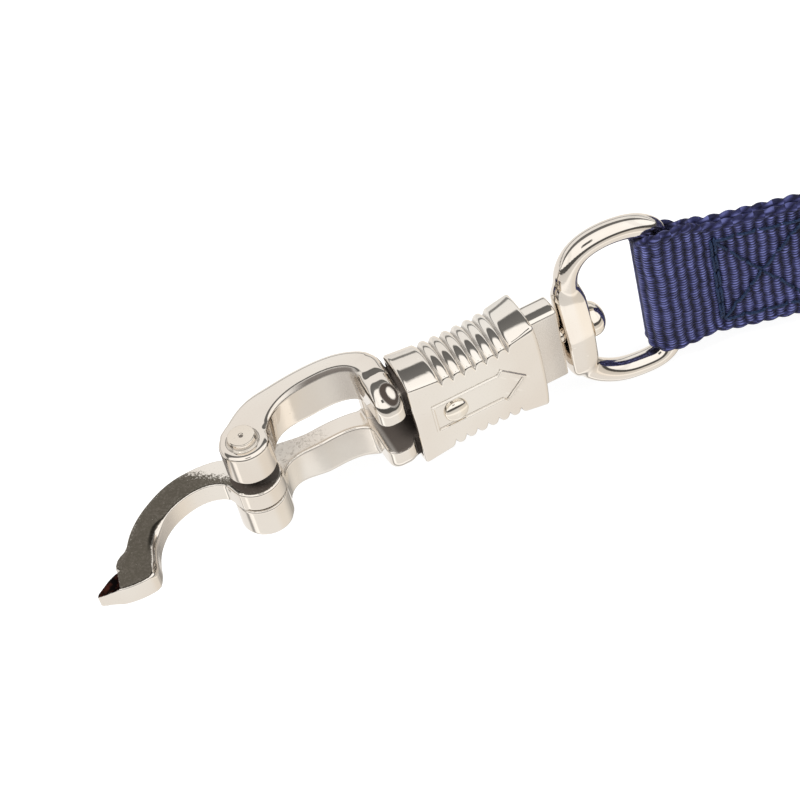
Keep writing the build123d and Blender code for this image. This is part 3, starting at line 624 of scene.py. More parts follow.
def tube(path, radius, name, n=10, closed_ends=True, twist=0.0, uv=False):
    """Round tube along a 3-D path, with parallel-transported rings."""
    P = np.asarray(path, float)
    T = np.gradient(P, axis=0)
    T /= np.linalg.norm(T, axis=1)[:, None]
    ref = np.array([0.0, 0.0, 1.0]) if abs(T[0, 2]) < 0.9 else np.array([0.0, 1.0, 0.0])
    N = np.zeros_like(P)
    v = ref - T[0] * (ref @ T[0])
    N[0] = v / np.linalg.norm(v)
    for i in range(1, len(P)):
        v = N[i - 1] - T[i] * (N[i - 1] @ T[i])
        N[i] = v / np.linalg.norm(v)
    B = np.cross(T, N)
    a = np.linspace(0, 2 * np.pi, n, endpoint=False)
    r = np.broadcast_to(np.asarray(radius, float), (len(P),))
    co = P[:, None, :] + r[:, None, None] * (np.cos(a)[None, :, None] * N[:, None, :] + np.sin(a)[None, :, None] * B[:, None, :])
    m = len(P)
    idx = np.arange(m * n).reshape(m, n)
    q = np.stack([idx[:-1], np.roll(idx[:-1], -1, 1), np.roll(idx[1:], -1, 1), idx[1:]], -1).reshape(-1, 4)
    co = co.reshape(-1, 3)
    lo, hi = len(co), len(co) + 1
    co = np.concatenate([co, [P[0], P[-1]]])
    t0 = np.stack([idx[0], np.full(n, lo), np.roll(idx[0], -1)], 1)
    t1 = np.stack([idx[-1], np.roll(idx[-1], -1), np.full(n, hi)], 1)
    return co, q, np.concatenate([t0, t1])


def spring():
    t = np.linspace(0, 1, 520)
    turns, x0, x1, r = 11.0, 34.7, 48.75, 1.26
    # closed end turns
    s = t * turns
    w = np.clip(s / 1.0, 0, 1) * np.clip((turns - s) / 1.0, 0, 1)
    w = np.maximum(w, 0.28)
    x = np.r_[0, np.cumsum((w[1:] + w[:-1]) / 2)]
    x = x0 + (x1 - x0) * x / x[-1]
    path = np.stack([x, r * np.cos(2 * np.pi * s), r * np.sin(2 * np.pi * s)], 1)
    co, q, tr = tube(path, 0.22, "spring", n=12)
    return mesh_object("release_spring_wire", co, [q, tr])


# ------------------------------------------------------------------ webbing
YAW = math.radians(-17.0)
DX, DY = math.cos(YAW), math.sin(YAW)
NX, NY = -math.sin(YAW), math.cos(YAW)
C0 = np.array([80.5, -3.2])
HALF, WEB_T, WEB_W, BAR_X, LOOP_R, BEND_R = 0.8, 1.5, 25.0, 73.5, 3.35, 2.0
TAIL_LEN, LEAD_IN, DROP_LEN, RUN_OUT = 19.5, 30.0, 58.0, 8.0
COIL_R, COIL_STEP, COIL_HALF_TURNS = 60.0, 1.75, 13
DROP = -WEB_W / 2 - FLOOR_Z
HEM_R = COIL_R - (COIL_HALF_TURNS - 1) * COIL_STEP
RIB, YARN, BRAID = 1.73, 0.58, 2.6


class Walk:
    def __init__(self, x, y, h):
        self.x, self.y, self.h, self.s, self.seg = x, y, h, 0.0, []

    def line(self, d):
        self.seg.append((self.s, d, self.x, self.y, self.h, 0.0))
        self.x += d * math.cos(self.h)
        self.y += d * math.sin(self.h)
        self.s += d

    def arc(self, r, sweep):
        k = 1.0 if sweep > 0 else -1.0
        L = abs(sweep) * r
        self.seg.append((self.s, L, self.x, self.y, self.h, k / r))
        cx, cy = self.x - k * r * math.sin(self.h), self.y + k * r * math.cos(self.h)
        self.h += sweep
        self.x, self.y = cx + k * r * math.sin(self.h), cy - k * r * math.cos(self.h)
        self.s += L

    def at(self, s):
        s = np.asarray(s, float)
        x, y, h = np.zeros_like(s), np.zeros_like(s), np.zeros_like(s)
        for s0, L, x0, y0, h0, k in self.seg:
            m = (s >= s0 - 1e-9) & (s <= s0 + L + 1e-9)
            u = s[m] - s0
            if k == 0:
                x[m], y[m], h[m] = x0 + u * math.cos(h0), y0 + u * math.sin(h0), h0
            else:
                hh = h0 + k * u
                x[m] = x0 + (np.sin(hh) - math.sin(h0)) / k
                y[m] = y0 - (np.cos(hh) - math.cos(h0)) / k
                h[m] = hh
        return x, y, h


def strap_walk():
    b, f = C0 + HALF * np.array([NX, NY]), C0 - HALF * np.array([NX, NY])

    def tangent(p, sign):
        ex, ey = p[0] - BAR_X, p[1]
        return math.atan2(ey, ex) + sign * math.acos(LOOP_R / math.hypot(ex, ey))

    tb, tf = tangent(b, 1), tangent(f, -1)
    hb, hf = math.atan2(math.cos(tb), -math.sin(tb)), math.atan2(math.cos(tf), -math.sin(tf))
    wrapa = lambda a: (a + math.pi) % (2 * math.pi) - math.pi
    turn_b, turn_f = wrapa(hb - (math.pi + YAW)), wrapa(YAW - hf)
    cb, cf = BEND_R * math.tan(abs(turn_b) / 2), BEND_R * math.tan(abs(turn_f) / 2)
    leg_b = math.hypot(b[0] - BAR_X - LOOP_R * math.cos(tb), b[1] - LOOP_R * math.sin(tb))
    leg_f = math.hypot(f[0] - BAR_X - LOOP_R * math.cos(tf), f[1] - LOOP_R * math.sin(tf))
    w = Walk(b[0] + TAIL_LEN * DX, b[1] + TAIL_LEN * DY, math.pi + YAW)
    w.line(TAIL_LEN - cb)
    w.arc(BEND_R, turn_b)
    w.line(leg_b - cb)
    w.loop_start = w.s
    w.arc(LOOP_R, (hf - hb) % (2 * math.pi))
    w.loop_end = w.s
    w.line(leg_f - cf)
    w.arc(BEND_R, turn_f)
    w.stitch_s = w.s + 0.0 - cf
    w.line(LEAD_IN - cf)
    w.join = w.s
    w.line(DROP_LEN)
    w.drop_end = w.s
    w.line(RUN_OUT)
    for i in range(COIL_HALF_TURNS):
        w.arc(COIL_R - i * COIL_STEP, math.pi)
    w.hem = w.s
    w.hem_pose = (w.x, w.y, w.h)
    w.arc(HALF, math.pi)
    w.arc(HEM_R - 2 * HALF, -28.0 / (HEM_R - 2 * HALF))
    return w


WALK = strap_walk()


def z_shift(s):
    t = np.clip((np.asarray(s, float) - WALK.join) / DROP_LEN, 0, 1)
    return -DROP * t


def stitch_lines():
    S, L, H = 1.1, 15.0, 9.3
    c = [(S, -H), (S, H), (S + L, H), (S + L, -H)]
    return [(c[0], c[1]), (c[1], c[2]), (c[2], c[3]), (c[3], c[0]), (c[0], c[2]), (c[1], c[3])]


def strap_piece(name, s0, s1, ds, nz, yarn_geo, dents):
    """A closed, woven strap between two stations of the walk."""
    ns = int(round((s1 - s0) / ds)) + 1
    s = np.linspace(s0, s1, ns)
    x, y, h = WALK.at(s)
    nx, ny = -np.sin(h), np.cos(h)                 # left of the walk
    # section: up the left face, over the top edge, down the right face, round the lower edge
    half = WEB_W / 2 - 0.75
    ne = 9 if yarn_geo else 5
    zz = np.linspace(-half, half, nz)
    ang = np.linspace(90, -90, ne + 2)[1:-1]
    sec_z = np.concatenate([zz, half + 0.75 * np.cos(np.radians(ang)), zz[::-1], -half - 0.75 * np.cos(np.radians(ang))])
    sec_u = np.concatenate([np.full(nz, 0.75), 0.75 * np.sin(np.radians(ang)), np.full(nz, -0.75), -0.75 * np.sin(np.radians(ang))])
    out_u = np.concatenate([np.ones(nz), np.sin(np.radians(ang)), -np.ones(nz), -np.sin(np.radians(ang))])
    out_z = np.concatenate([np.zeros(nz), np.cos(np.radians(ang)), np.zeros(nz), -np.cos(np.radians(ang))])
    edge = np.clip((np.abs(sec_z) - (half - 0.55)) / 0.55, 0, 1)
    edge = edge * edge * (3 - 2 * edge)
    phi = np.arctan2(out_u, np.abs(out_z) + 1e-9)
    S, Zc = s[:, None], sec_z[None, :]
    # cross ribs, each warp yarn riding over it alternately
    ph = S / RIB + 0.05 * np.sin(Zc * 0.9 + S * 0.21) + 0.035 * np.sin(Zc * 2.7 + S * 1.3) + 0.03 * np.sin(S * 0.83 + Zc * 0.11)
    rib = 0.5 + 0.5 * np.cos(2 * np.pi * ph)
    rib = rib ** 0.75
    k = np.round(ph)
    disp = -0.27 * (1 - rib)
    if yarn_geo:
        yarn = np.cos(2 * np.pi * Zc / YARN + np.pi * k + 0.5 * np.sin(S * 3.1 + 1.7 * np.sin(Zc * 0.8)) + 0.5 * np.sin(Zc * 1.9 + k * 2.1))
        disp = disp + 0.035 * yarn * (0.35 + 0.65 * rib)
    disp = disp * (1 - edge[None, :])
    braid = np.abs(np.cos(phi[None, :] * 0.9 - np.pi * S / BRAID * np.sign(Zc + 1e-6))) - 0.62
    disp = disp + edge[None, :] * (0.42 * braid)
    if dents:
        # along the stitches the webbing is pulled in
        X, Y = x[:, None], y[:, None]
        along = (X - C0[0]) * DX + (Y - C0[1]) * DY + 0 * Zc
        m = np.zeros_like(along)
        for (ax, az), (bx, bz) in stitch_lines():
            ex, ez = bx - ax, bz - az
            t = np.clip(((along - ax) * ex + (Zc - az) * ez) / (ex * ex + ez * ez), 0, 1)
            d = np.hypot(along - ax - ex * t, Zc - az - ez * t)
            m = np.maximum(m, np.exp(-(d / 0.62) ** 2))
        flat = (S < WALK.loop_start - 1) | (S > WALK.loop_end + 1)
        face = np.abs(out_u) > 0.99
        near = np.exp(-((along - 1.1) / 1.1) ** 2) * (np.abs(Zc) < 10.5)
        disp = disp - flat * face[None, :] * (0.20 * m + 0.16 * near)
    # the layer behind the eye's bar is pulled a little narrower at its top edge
    if dents:
        b0 = WALK.loop_start - 6.0
        pull = ease(S, b0, b0 + 4.0) * (1 - ease(S, WALK.loop_start + 3.0, WALK.loop_start + 8.5))
        Zc = Zc - 1.5 * pull * ease(Zc, 0.0, 12.0)
        lift_f = ease(S, WALK.loop_start + 7.0, WALK.loop_end - 0.5) * (1 - ease(S, WALK.loop_end + 3.5, WALK.stitch_s + 2.5))
        Zc = Zc + 1.9 * lift_f * ease(Zc, 2.0, 12.0)
        near_row = np.exp(-((S - (WALK.stitch_s - 0.6)) / 2.2) ** 2) * (S > WALK.loop_end)
        Zc = Zc * (1 - 0.035 * near_row)
    U = sec_u[None, :] + disp * out_u[None, :]
    ZZ = Zc + disp * out_z[None, :]
    co = np.stack([x[:, None] + U * nx[:, None], y[:, None] + U * ny[:, None], ZZ + z_shift(S)], -1)
    n = len(sec_z)
    idx = np.arange(ns * n).reshape(ns, n)
    q = np.stack([idx[:-1], idx[1:], np.roll(idx[1:], -1, 1), np.roll(idx[:-1], -1, 1)], -1).reshape(-1, 4)
    uv = np.stack([np.broadcast_to(S, (ns, n)), np.broadcast_to(Zc, (ns, n))], -1).reshape(-1, 2)
    co = co.reshape(-1, 3)
    # caps: strips across the thickness, so the ends are closed without long fans
    caps = []
    for row, flip in ((idx[0], False), (idx[-1], True)):
        left, right = row[:nz], row[nz + ne : 2 * nz + ne][::-1]
        c = np.stack([left[:-1], left[1:], right[1:], right[:-1]], -1)
        caps.append(c if not flip else c[:, ::-1])
        tops = np.concatenate([[row[nz - 1]], row[nz : nz + ne], [row[nz + ne]]])
        bots = np.concatenate([[row[2 * nz + ne - 1]], row[2 * nz + ne :], [row[0]]])
        fans = []
        for chain in (tops, bots):
            for i in range(1, len(chain) - 1):
                fans.append([chain[0], chain[i], chain[i + 1]])
        fans = np.array(fans)
        caps.append(fans if not flip else fans[:, ::-1])
    quads = np.concatenate([q, caps[0], caps[2]])
    tris = np.concatenate([caps[1], caps[3]])
    height = (rib * (1 - edge[None, :]) + edge[None, :] * (0.5 + braid)).reshape(-1)
    return mesh_object(name, co, [quads, tris], uv=uv, attrs={"rib": height, "edge": np.broadcast_to(edge[None, :], (ns, n)).reshape(-1)})


def ply_thread(paths, name, r=0.165, off=0.125, pitch=1.5):
    """Two-ply twisted thread along each path."""
    cos_, quads, tris, base = [], [], [], 0
    for j, P in enumerate(paths):
        P = np.asarray(P, float)
        T = np.gradient(P, axis=0)
        T /= np.linalg.norm(T, axis=1)[:, None]
        L = np.r_[0, np.cumsum(np.linalg.norm(np.diff(P, axis=0), axis=1))]
        ref = np.array([0.13, 0.21, 0.97])
        A = np.cross(T, ref)
        A /= np.linalg.norm(A, axis=1)[:, None]
        B = np.cross(T, A)
        for ply in (0, 1):
            a = 2 * np.pi * L / pitch + math.pi * ply + j * 1.3
            C = P + off * (np.cos(a)[:, None] * A + np.sin(a)[:, None] * B)
            co, q, t = tube(C, r, "", n=8)
            cos_.append(co)
            quads.append(q + base)
            tris.append(t + base)
            base += len(co)
    co = np.concatenate(cos_)
    return mesh_object(name, co, [np.concatenate(quads), np.concatenate(tris)])


def snap_end_paths(side):
    """Visible threads of the boxed cross on one face: side -1 is the front, 1 the back."""
    rng = np.random.default_rng(7 if side < 0 else 8)
    paths = []
    for (ax, az), (bx, bz) in stitch_lines():
        length = math.hypot(bx - ax, bz - az)
        n = max(1, round(length / 3.7))
        rows = [(0.0, 0.0)]
        if ax == bx and ax < 5:
            rows = [(-0.22, 0.3), (0.28, 1.9)]     # the first row is sewn back over itself
        for shift, start in rows:
            for k in range(n):
                f0, f1 = (k + 0.08) / n, (k + 0.94) / n
                wob = rng.normal(0, 0.10, 4)
                t = np.linspace(0, 1, 26)
                sx = ax + (bx - ax) * (f0 + (f1 - f0) * t) + shift + wob[0] + (wob[1] - wob[0]) * t
                sz = az + (bz - az) * (f0 + (f1 - f0) * t) + wob[2] + (wob[3] - wob[2]) * t + (start if start else 0) * 0.25
                lift = 1.55 - 0.04 + 0.16 * np.sin(np.pi * t) ** 0.5 - 0.42 * (np.abs(2 * t - 1) ** 6)
                px = C0[0] + sx * DX + side * lift * NX
                py = C0[1] + sx * DY + side * lift * NY
                paths.append(np.stack([px, py, np.clip(sz, -9.75, 9.75)], 1))
    return paths


def hem_paths(radius, sign):
    hx, hy, hh = WALK.hem_pose
    cx, cy = hx - HEM_R * math.sin(hh), hy + HEM_R * math.cos(hh)
    zc = FLOOR_Z + WEB_W / 2
    rng = np.random.default_rng(11 if sign > 0 else 12)
    paths = []
    for arc_len in (4.0, 22.0):
        a = hh - math.pi / 2 - arc_len / HEM_R
        for k in range(6):
            z0 = (k - 2.5) * 3.7
            t = np.linspace(0, 1, 24)
            lift = radius + sign * (0.03 + 0.2 * np.sin(np.pi * t) ** 0.5 - 0.4 * (np.abs(2 * t - 1) ** 6))
            aa = a + rng.normal(0, 0.001)
            paths.append(np.stack([cx + lift * math.cos(aa), cy + lift * math.sin(aa), zc + z0 + (t - 0.5) * 3.3], 1))
    return paths


# ------------------------------------------------------------------ materials
class Nodes:
    """Small helper for node trees."""

    def __init__(self, name):
        self.m = bpy.data.materials.new(name)
        self.m.use_nodes = True
        self.t = self.m.node_tree
        self.t.nodes.clear()
        self.out = self.t.nodes.new("ShaderNodeOutputMaterial")

    def n(self, kind, **kw):
        node = self.t.nodes.new(kind)
        for k, v in kw.items():
            if k in node.inputs.keys() if isinstance(k, str) else False:
                node.inputs[k].default_value = v
            elif hasattr(node, k):
                setattr(node, k, v)
            else:
                node.inputs[k.replace("_", " ")].default_value = v
        return node

    def link(self, a, b):
        self.t.links.new(a, b)

    def math(self, op, a, b=None, clamp=False):
        node = self.t.nodes.new("ShaderNodeMath")
        node.operation, node.use_clamp = op, clamp
        for i, v in enumerate((a, b)):
            if v is None:
                continue
            if isinstance(v, (int, float)):
                node.inputs[i].default_value = v
            else:
                self.link(v, node.inputs[i])
        return node.outputs[0]

    def mix(self, fac, a, b):
        node = self.t.nodes.new("ShaderNodeMix")
        node.data_type = "RGBA"
        for sock, v in ((node.inputs[0], fac), (node.inputs[6], a), (node.inputs[7], b)):
            if isinstance(v, (int, float)):
                sock.default_value = v
            elif isinstance(v, (tuple, list)):
                sock.default_value = (*v, 1.0) if len(v) == 3 else v
            else:
                self.link(v, sock)
        return node.outputs[2]

    def ramp(self, fac, stops, interpolation="LINEAR"):
        node = self.t.nodes.new("ShaderNodeValToRGB")
        node.color_ramp.interpolation = interpolation
        els = node.color_ramp.elements
        while len(els) > 1:
            els.remove(els[-1])
        for i, (p, c) in enumerate(stops):
            e = els[0] if i == 0 else els.new(p)
            e.position = p
            e.color = (*c, 1.0) if isinstance(c, tuple) else (c, c, c, 1.0)
        self.link(fac, node.inputs[0])
        return node.outputs[0]

    def noise(self, vec, scale, detail=2.0, rough=0.5):
        node = self.t.nodes.new("ShaderNodeTexNoise")
        node.inputs["Scale"].default_value = scale
        node.inputs["Detail"].default_value = detail
        node.inputs["Roughness"].default_value = rough
        self.link(vec, node.inputs["Vector"])
        return node.outputs[0]

    def bump(self, height, strength, distance, normal=None):
        node = self.t.nodes.new("ShaderNodeBump")
        node.inputs["Strength"].default_value = strength
        node.inputs["Distance"].default_value = distance
        self.link(height, node.inputs["Height"])
        if normal is not None:
            self.link(normal, node.inputs["Normal"])
        return node.outputs[0]


def nickel(name, tint=(0.80, 0.755, 0.69), rough=0.075, painted_top_reflection=False, shade_highlight_and_pitting=1.0):
    N = Nodes(name)
    b = N.n("ShaderNodeBsdfPrincipled")
    b.inputs["Metallic"].default_value = 1.0
    geo = N.t.nodes.new("ShaderNodeNewGeometry")
    tc = N.t.nodes.new("ShaderNodeTexCoord")
    P = tc.outputs["Object"]

    def attr(key):
        n = N.t.nodes.new("ShaderNodeAttribute")
        n.attribute_name = key
        return n.outputs["Fac"]

    cloud = N.noise(P, 140.0, 3.0)
    broad = N.noise(P, 60.0, 2.0)
    fine = N.noise(P, 1500.0, 2.0)
    speck = N.noise(P, 2600.0, 2.0, 0.7)
    col = N.mix(N.math('MULTIPLY', N.math('SUBTRACT', broad, 0.3, True), 2.5, True), tuple(c * k for c, k in zip(tint, (0.945, 0.915, 0.90))), tuple(min(1.0, c * k) for c, k in zip(tint, (1.035, 1.045, 1.06))))
    # painted highlight on sharp outer edges and painted shade in the hollows, both found from the mesh's pointiness
    pt = geo.outputs["Pointiness"]
    hollow = N.ramp(pt, [(0.40, 1.0), (0.49, 0.0)])
    col = N.mix(N.math("MULTIPLY", hollow, 0.45 * shade_highlight_and_pitting), col, (0.26, 0.22, 0.18))
    ridge = N.ramp(pt, [(0.52, 0.0), (0.60, 1.0)])
    col = N.mix(N.math("MULTIPLY", ridge, 0.45 * shade_highlight_and_pitting), col, (0.92, 0.89, 0.83))
    pits = N.ramp(speck, [(0.70, 0.0), (0.76, 1.0)])
    col = N.mix(N.math("MULTIPLY", pits, 0.22 * shade_highlight_and_pitting), col, (0.42, 0.38, 0.33))
    r = N.math("ADD", N.math("MULTIPLY", cloud, 0.06), rough - 0.03)
    r = N.math("ADD", r, N.math("MULTIPLY", pits, 0.15))
    # painted shade on the lower arm's top face under the upper arm: a darker colour with a rough speckle, and more
    # roughness
    rough_and_shaded = attr("rough_and_shaded")
    speckle_noise = N.noise(P, 2300.0, 4.0, 0.75)
    speckled_rough_shade = N.math("MULTIPLY", rough_and_shaded, N.ramp(speckle_noise, [(0.54, 0.0), (0.68, 1.0)]))
    col = N.mix(N.math("MULTIPLY", speckled_rough_shade, 0.5), col, (0.20, 0.17, 0.145))
    col = N.mix(N.math("MULTIPLY", rough_and_shaded, 0.18), col, (0.42, 0.38, 0.33))
    r = N.math("ADD", r, N.math("MULTIPLY", rough_and_shaded, 0.22))
    if painted_top_reflection:
        # painted dark reflection on the ground top face: mottled, with bright specks towards its edges
        f = attr("painted_top_reflection")
        e = attr("edge_mm")
        near = N.ramp(e, [(0.10, 1.0), (1.0, 0.0)])
        edge_specks = N.noise(P, 2300.0, 4.0, 0.8)
        edge_speck = N.math("MULTIPLY", near, N.ramp(edge_specks, [(0.56, 0.0), (0.64, 1.0)]))
        fade = N.math("ADD", f, N.math("MULTIPLY", N.math("SUBTRACT", edge_specks, 0.5), 2.6))
        amount = N.math("MULTIPLY", N.ramp(fade, [(0.32, 0.0), (0.62, 1.0)]), N.ramp(f, [(0.02, 0.0), (0.30, 1.0)]))
        amount = N.math("MULTIPLY", amount, N.math("SUBTRACT", 1.0, N.math("MULTIPLY", edge_speck, 0.6)))
        dark = N.mix(broad, (0.088, 0.078, 0.060), (0.130, 0.115, 0.093))
        dark = N.mix(N.math("MULTIPLY", N.math("SUBTRACT", speck, 0.45, True), 1.5), dark, (0.24, 0.21, 0.185))
        col = N.mix(amount, col, dark)
        r = N.math("ADD", r, N.math("MULTIPLY", amount, 0.10))
        # painted near-black reflection on the tip's facet
        col = N.mix(attr("facet"), col, N.ramp(N.noise(P, 700.0, 3.0, 0.6), [(0.42, (0.002, 0.001, 0.001)), (0.62, (0.050, 0.014, 0.009))]))
    # painted shade and dark reflections: a darker colour and more roughness where they are painted
    col = N.mix(attr("painted_shade_and_dark_reflection"), col, N.mix(cloud, (0.040, 0.031, 0.026), (0.078, 0.062, 0.052)))
    r = N.math("ADD", r, N.math("MULTIPLY", attr("painted_shade_and_dark_reflection"), 0.45))
    # where shade and dark reflections are painted the metal is made partly grey and less metallic, so it keeps a
    # little light of its own
    b.inputs["Metallic"].default_value = 1.0
    N.link(N.math("SUBTRACT", 1.0, N.math("MULTIPLY", attr("painted_shade_and_dark_reflection"), 0.75)), b.inputs["Metallic"])
    N.link(N.math("SUBTRACT", 0.5, N.math("MULTIPLY", attr("painted_shade_and_dark_reflection"), 0.42)), b.inputs["Specular IOR Level"])
    N.link(col, b.inputs["Base Color"])
    N.link(r, b.inputs["Roughness"])
    h = N.math("ADD", N.math("MULTIPLY", broad, 2.2), N.math("MULTIPLY", fine, 0.08))
    h = N.math("ADD", h, cloud)
    h = N.math("SUBTRACT", h, N.math("MULTIPLY", speckled_rough_shade, 0.9))
    N.link(N.bump(h, 0.30, 0.00013), b.inputs["Normal"])
    N.link(b.outputs[0], N.out.inputs[0])
    return N.m


def wire_steel(name):
    N = Nodes(name)
    b = N.n("ShaderNodeBsdfPrincipled")
    b.inputs["Metallic"].default_value = 1.0
    tc = N.t.nodes.new("ShaderNodeTexCoord")
    c = N.noise(tc.outputs["Object"], 900.0, 3.0)
    N.link(N.mix(c, (0.36, 0.35, 0.33), (0.55, 0.54, 0.51)), b.inputs["Base Color"])
    N.link(N.math("ADD", N.math("MULTIPLY", c, 0.2), 0.25), b.inputs["Roughness"])
    N.link(N.bump(c, 0.3, 0.00005), b.inputs["Normal"])
    N.link(b.outputs[0], N.out.inputs[0])
    return N.m


def webbing(name, yarn_bump=1.0):
    """Ribbed navy webbing: UV holds millimetres along and across the strap."""
    N = Nodes(name)
    b = N.n("ShaderNodeBsdfPrincipled")
    uv = N.t.nodes.new("ShaderNodeUVMap")
    uv.uv_map = "UVMap"
    sep = N.t.nodes.new("ShaderNodeSeparateXYZ")
    N.link(uv.outputs[0], sep.inputs[0])
    s, z = sep.outputs[0], sep.outputs[1]
    rib = N.t.nodes.new("ShaderNodeAttribute")
    rib.attribute_name = "rib"
    edge = N.t.nodes.new("ShaderNodeAttribute")
    edge.attribute_name = "edge"
    k = N.math("ROUND", N.math("DIVIDE", s, RIB))
    # single warp yarns: they cross each rib, and neighbours alternate from rib to rib
    yphase = N.math("ADD", N.math("MULTIPLY", z, 2 * math.pi / YARN), N.math("MULTIPLY", k, math.pi))
    yarn = N.math("ADD", N.math("MULTIPLY", N.math("COSINE", yphase), 0.5), 0.5)
    strands = N.math("ADD", N.math("MULTIPLY", N.math("COSINE", N.math("ADD", N.math("MULTIPLY", z, 2 * math.pi / (YARN / 3)), N.math("MULTIPLY", s, 4.0))), 0.5), 0.5)
    tc = N.t.nodes.new("ShaderNodeTexCoord")
    P = tc.outputs["Object"]
    blotch = N.noise(P, 180.0, 3.0)
    fibre = N.noise(P, 4200.0, 3.0, 0.7)
    # each yarn picks up the dye a little differently
    comb = N.t.nodes.new("ShaderNodeCombineXYZ")
    N.link(N.math("ROUND", N.math("DIVIDE", z, YARN / 2)), comb.inputs[0])
    N.link(k, comb.inputs[1])
    white = N.t.nodes.new("ShaderNodeTexWhiteNoise")
    white.noise_dimensions = "2D"
    N.link(comb.outputs[0], white.inputs["Vector"])
    dark, mid, light = (0.0034, 0.0036, 0.013), (0.030, 0.032, 0.100), (0.134, 0.146, 0.350)
    # painted shade in the rib valleys and painted highlight on the rib crests and the crowns of the yarns, following
    # the rib height
    crest = N.math("MULTIPLY", rib.outputs["Fac"], N.math("ADD", N.math("MULTIPLY", yarn, 0.75), 0.25))
    crest = N.math("ADD", crest, N.math("MULTIPLY", N.math("SUBTRACT", white.outputs[0], 0.5), 0.30))
    crest = N.math("ADD", crest, N.math("MULTIPLY", N.math("SUBTRACT", fibre, 0.5), 0.5))
    crest = N.math("ADD", crest, N.math("MULTIPLY", N.math("SUBTRACT", blotch, 0.5), 0.35), clamp=True)
    col = N.ramp(crest, [(0.0, dark), (0.45, mid), (0.95, light)])
    col = N.mix(N.math("MULTIPLY", edge.outputs["Fac"], 0.40), col, (0.012, 0.012, 0.034))
    N.link(col, b.inputs["Base Color"])
    N.link(N.math("ADD", N.math("MULTIPLY", fibre, 0.2), 0.48), b.inputs["Roughness"])
    b.inputs["Sheen Weight"].default_value = 0.05
    b.inputs["Sheen Roughness"].default_value = 0.4
    b.inputs["Sheen Tint"].default_value = (0.55, 0.55, 0.95, 1.0)
    b.inputs["Specular IOR Level"].default_value = 0.16
    h = N.math("ADD", N.math("MULTIPLY", yarn, 1.0 * yarn_bump), N.math("MULTIPLY", strands, 0.22))
    h = N.math("ADD", h, N.math("MULTIPLY", fibre, 0.35))
    N.link(N.bump(h, 0.9, 0.00016), b.inputs["Normal"])
    N.link(b.outputs[0], N.out.inputs[0])
    return N.m


def thread(name):
    N = Nodes(name)
    b = N.n("ShaderNodeBsdfPrincipled")
    tc = N.t.nodes.new("ShaderNodeTexCoord")
    f = N.noise(tc.outputs["Object"], 3800.0, 3.0, 0.7)
    N.link(N.ramp(f, [(0.3, (0.004, 0.008, 0.022)), (0.7, (0.022, 0.038, 0.085))]), b.inputs["Base Color"])
    b.inputs["Roughness"].default_value = 0.55
    b.inputs["Specular IOR Level"].default_value = 0.20
    N.link(N.bump(f, 0.6, 0.00006), b.inputs["Normal"])
    N.link(b.outputs[0], N.out.inputs[0])
    return N.m


def set_material(ob, m):
    ob.data.materials.clear()
    ob.data.materials.append(m)


# ------------------------------------------------------------------ build
M_CAST = nickel("nickel_cast")
M_HOOK = nickel("nickel_hook", painted_top_reflection=True)
M_PIN = nickel("nickel_pin", tint=(0.80, 0.745, 0.66), rough=0.08)
M_SPRING = wire_steel("spring_wire")
M_WEB = webbing("navy_webbing")
M_WEB_FAR = webbing("navy_webbing_far", 1.6)
M_THREAD = thread("navy_thread")

pieces = [
    (fork(), "snap_body", "fork_body", M_CAST, "nickel_cast"),
    (hook(), "hook", "hook", M_HOOK, "nickel_cast"),
    (sleeve(), "sleeve", "release_sleeve", M_CAST, "nickel_cast"),
    (eye(), "eye", "swivel_eye", M_CAST, "nickel_cast"),
    (hinge_pin(), "snap_body", "hinge_pin", M_PIN, "nickel_pin"),
    (release_pin(), "sleeve", "release_pin", M_PIN, "nickel_pin"),
    (swivel_rivet(), "snap_body", "swivel_rivet", M_PIN, "nickel_pin"),
    (spring(), "snap_body", "release_spring", M_SPRING, "spring_steel"),
    (strap_piece("webbing_snap_end", 0.0, WALK.join, 0.2, 137, True, True), "lead", "lead_webbing", M_WEB, "navy_webbing"),
    (strap_piece("webbing_coil", WALK.join - 0.02, WALK.s, 0.4325, 31, False, False), "lead", "lead_webbing", M_WEB_FAR, "navy_webbing"),
    (ply_thread(snap_end_paths(-1), "snap_end_needle_stitches"), "lead", "snap_end_needle_thread", M_THREAD, "navy_thread"),
    (ply_thread(snap_end_paths(1), "snap_end_bobbin_stitches"), "lead", "snap_end_bobbin_thread", M_THREAD, "navy_thread"),
    (ply_thread(hem_paths(HEM_R + WEB_T / 2, 1), "far_end_needle_stitches"), "lead", "far_end_needle_thread", M_THREAD, "navy_thread"),
    (ply_thread(hem_paths(HEM_R - 2 * HALF - WEB_T / 2, -1), "far_end_bobbin_stitches"), "lead", "far_end_bobbin_thread", M_THREAD, "navy_thread"),
]
for ob, body, node, mat, slot in pieces:
    set_material(ob, mat)
    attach(ob, body)
    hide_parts(node)
    if node == "release_spring":
        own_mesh(ob)

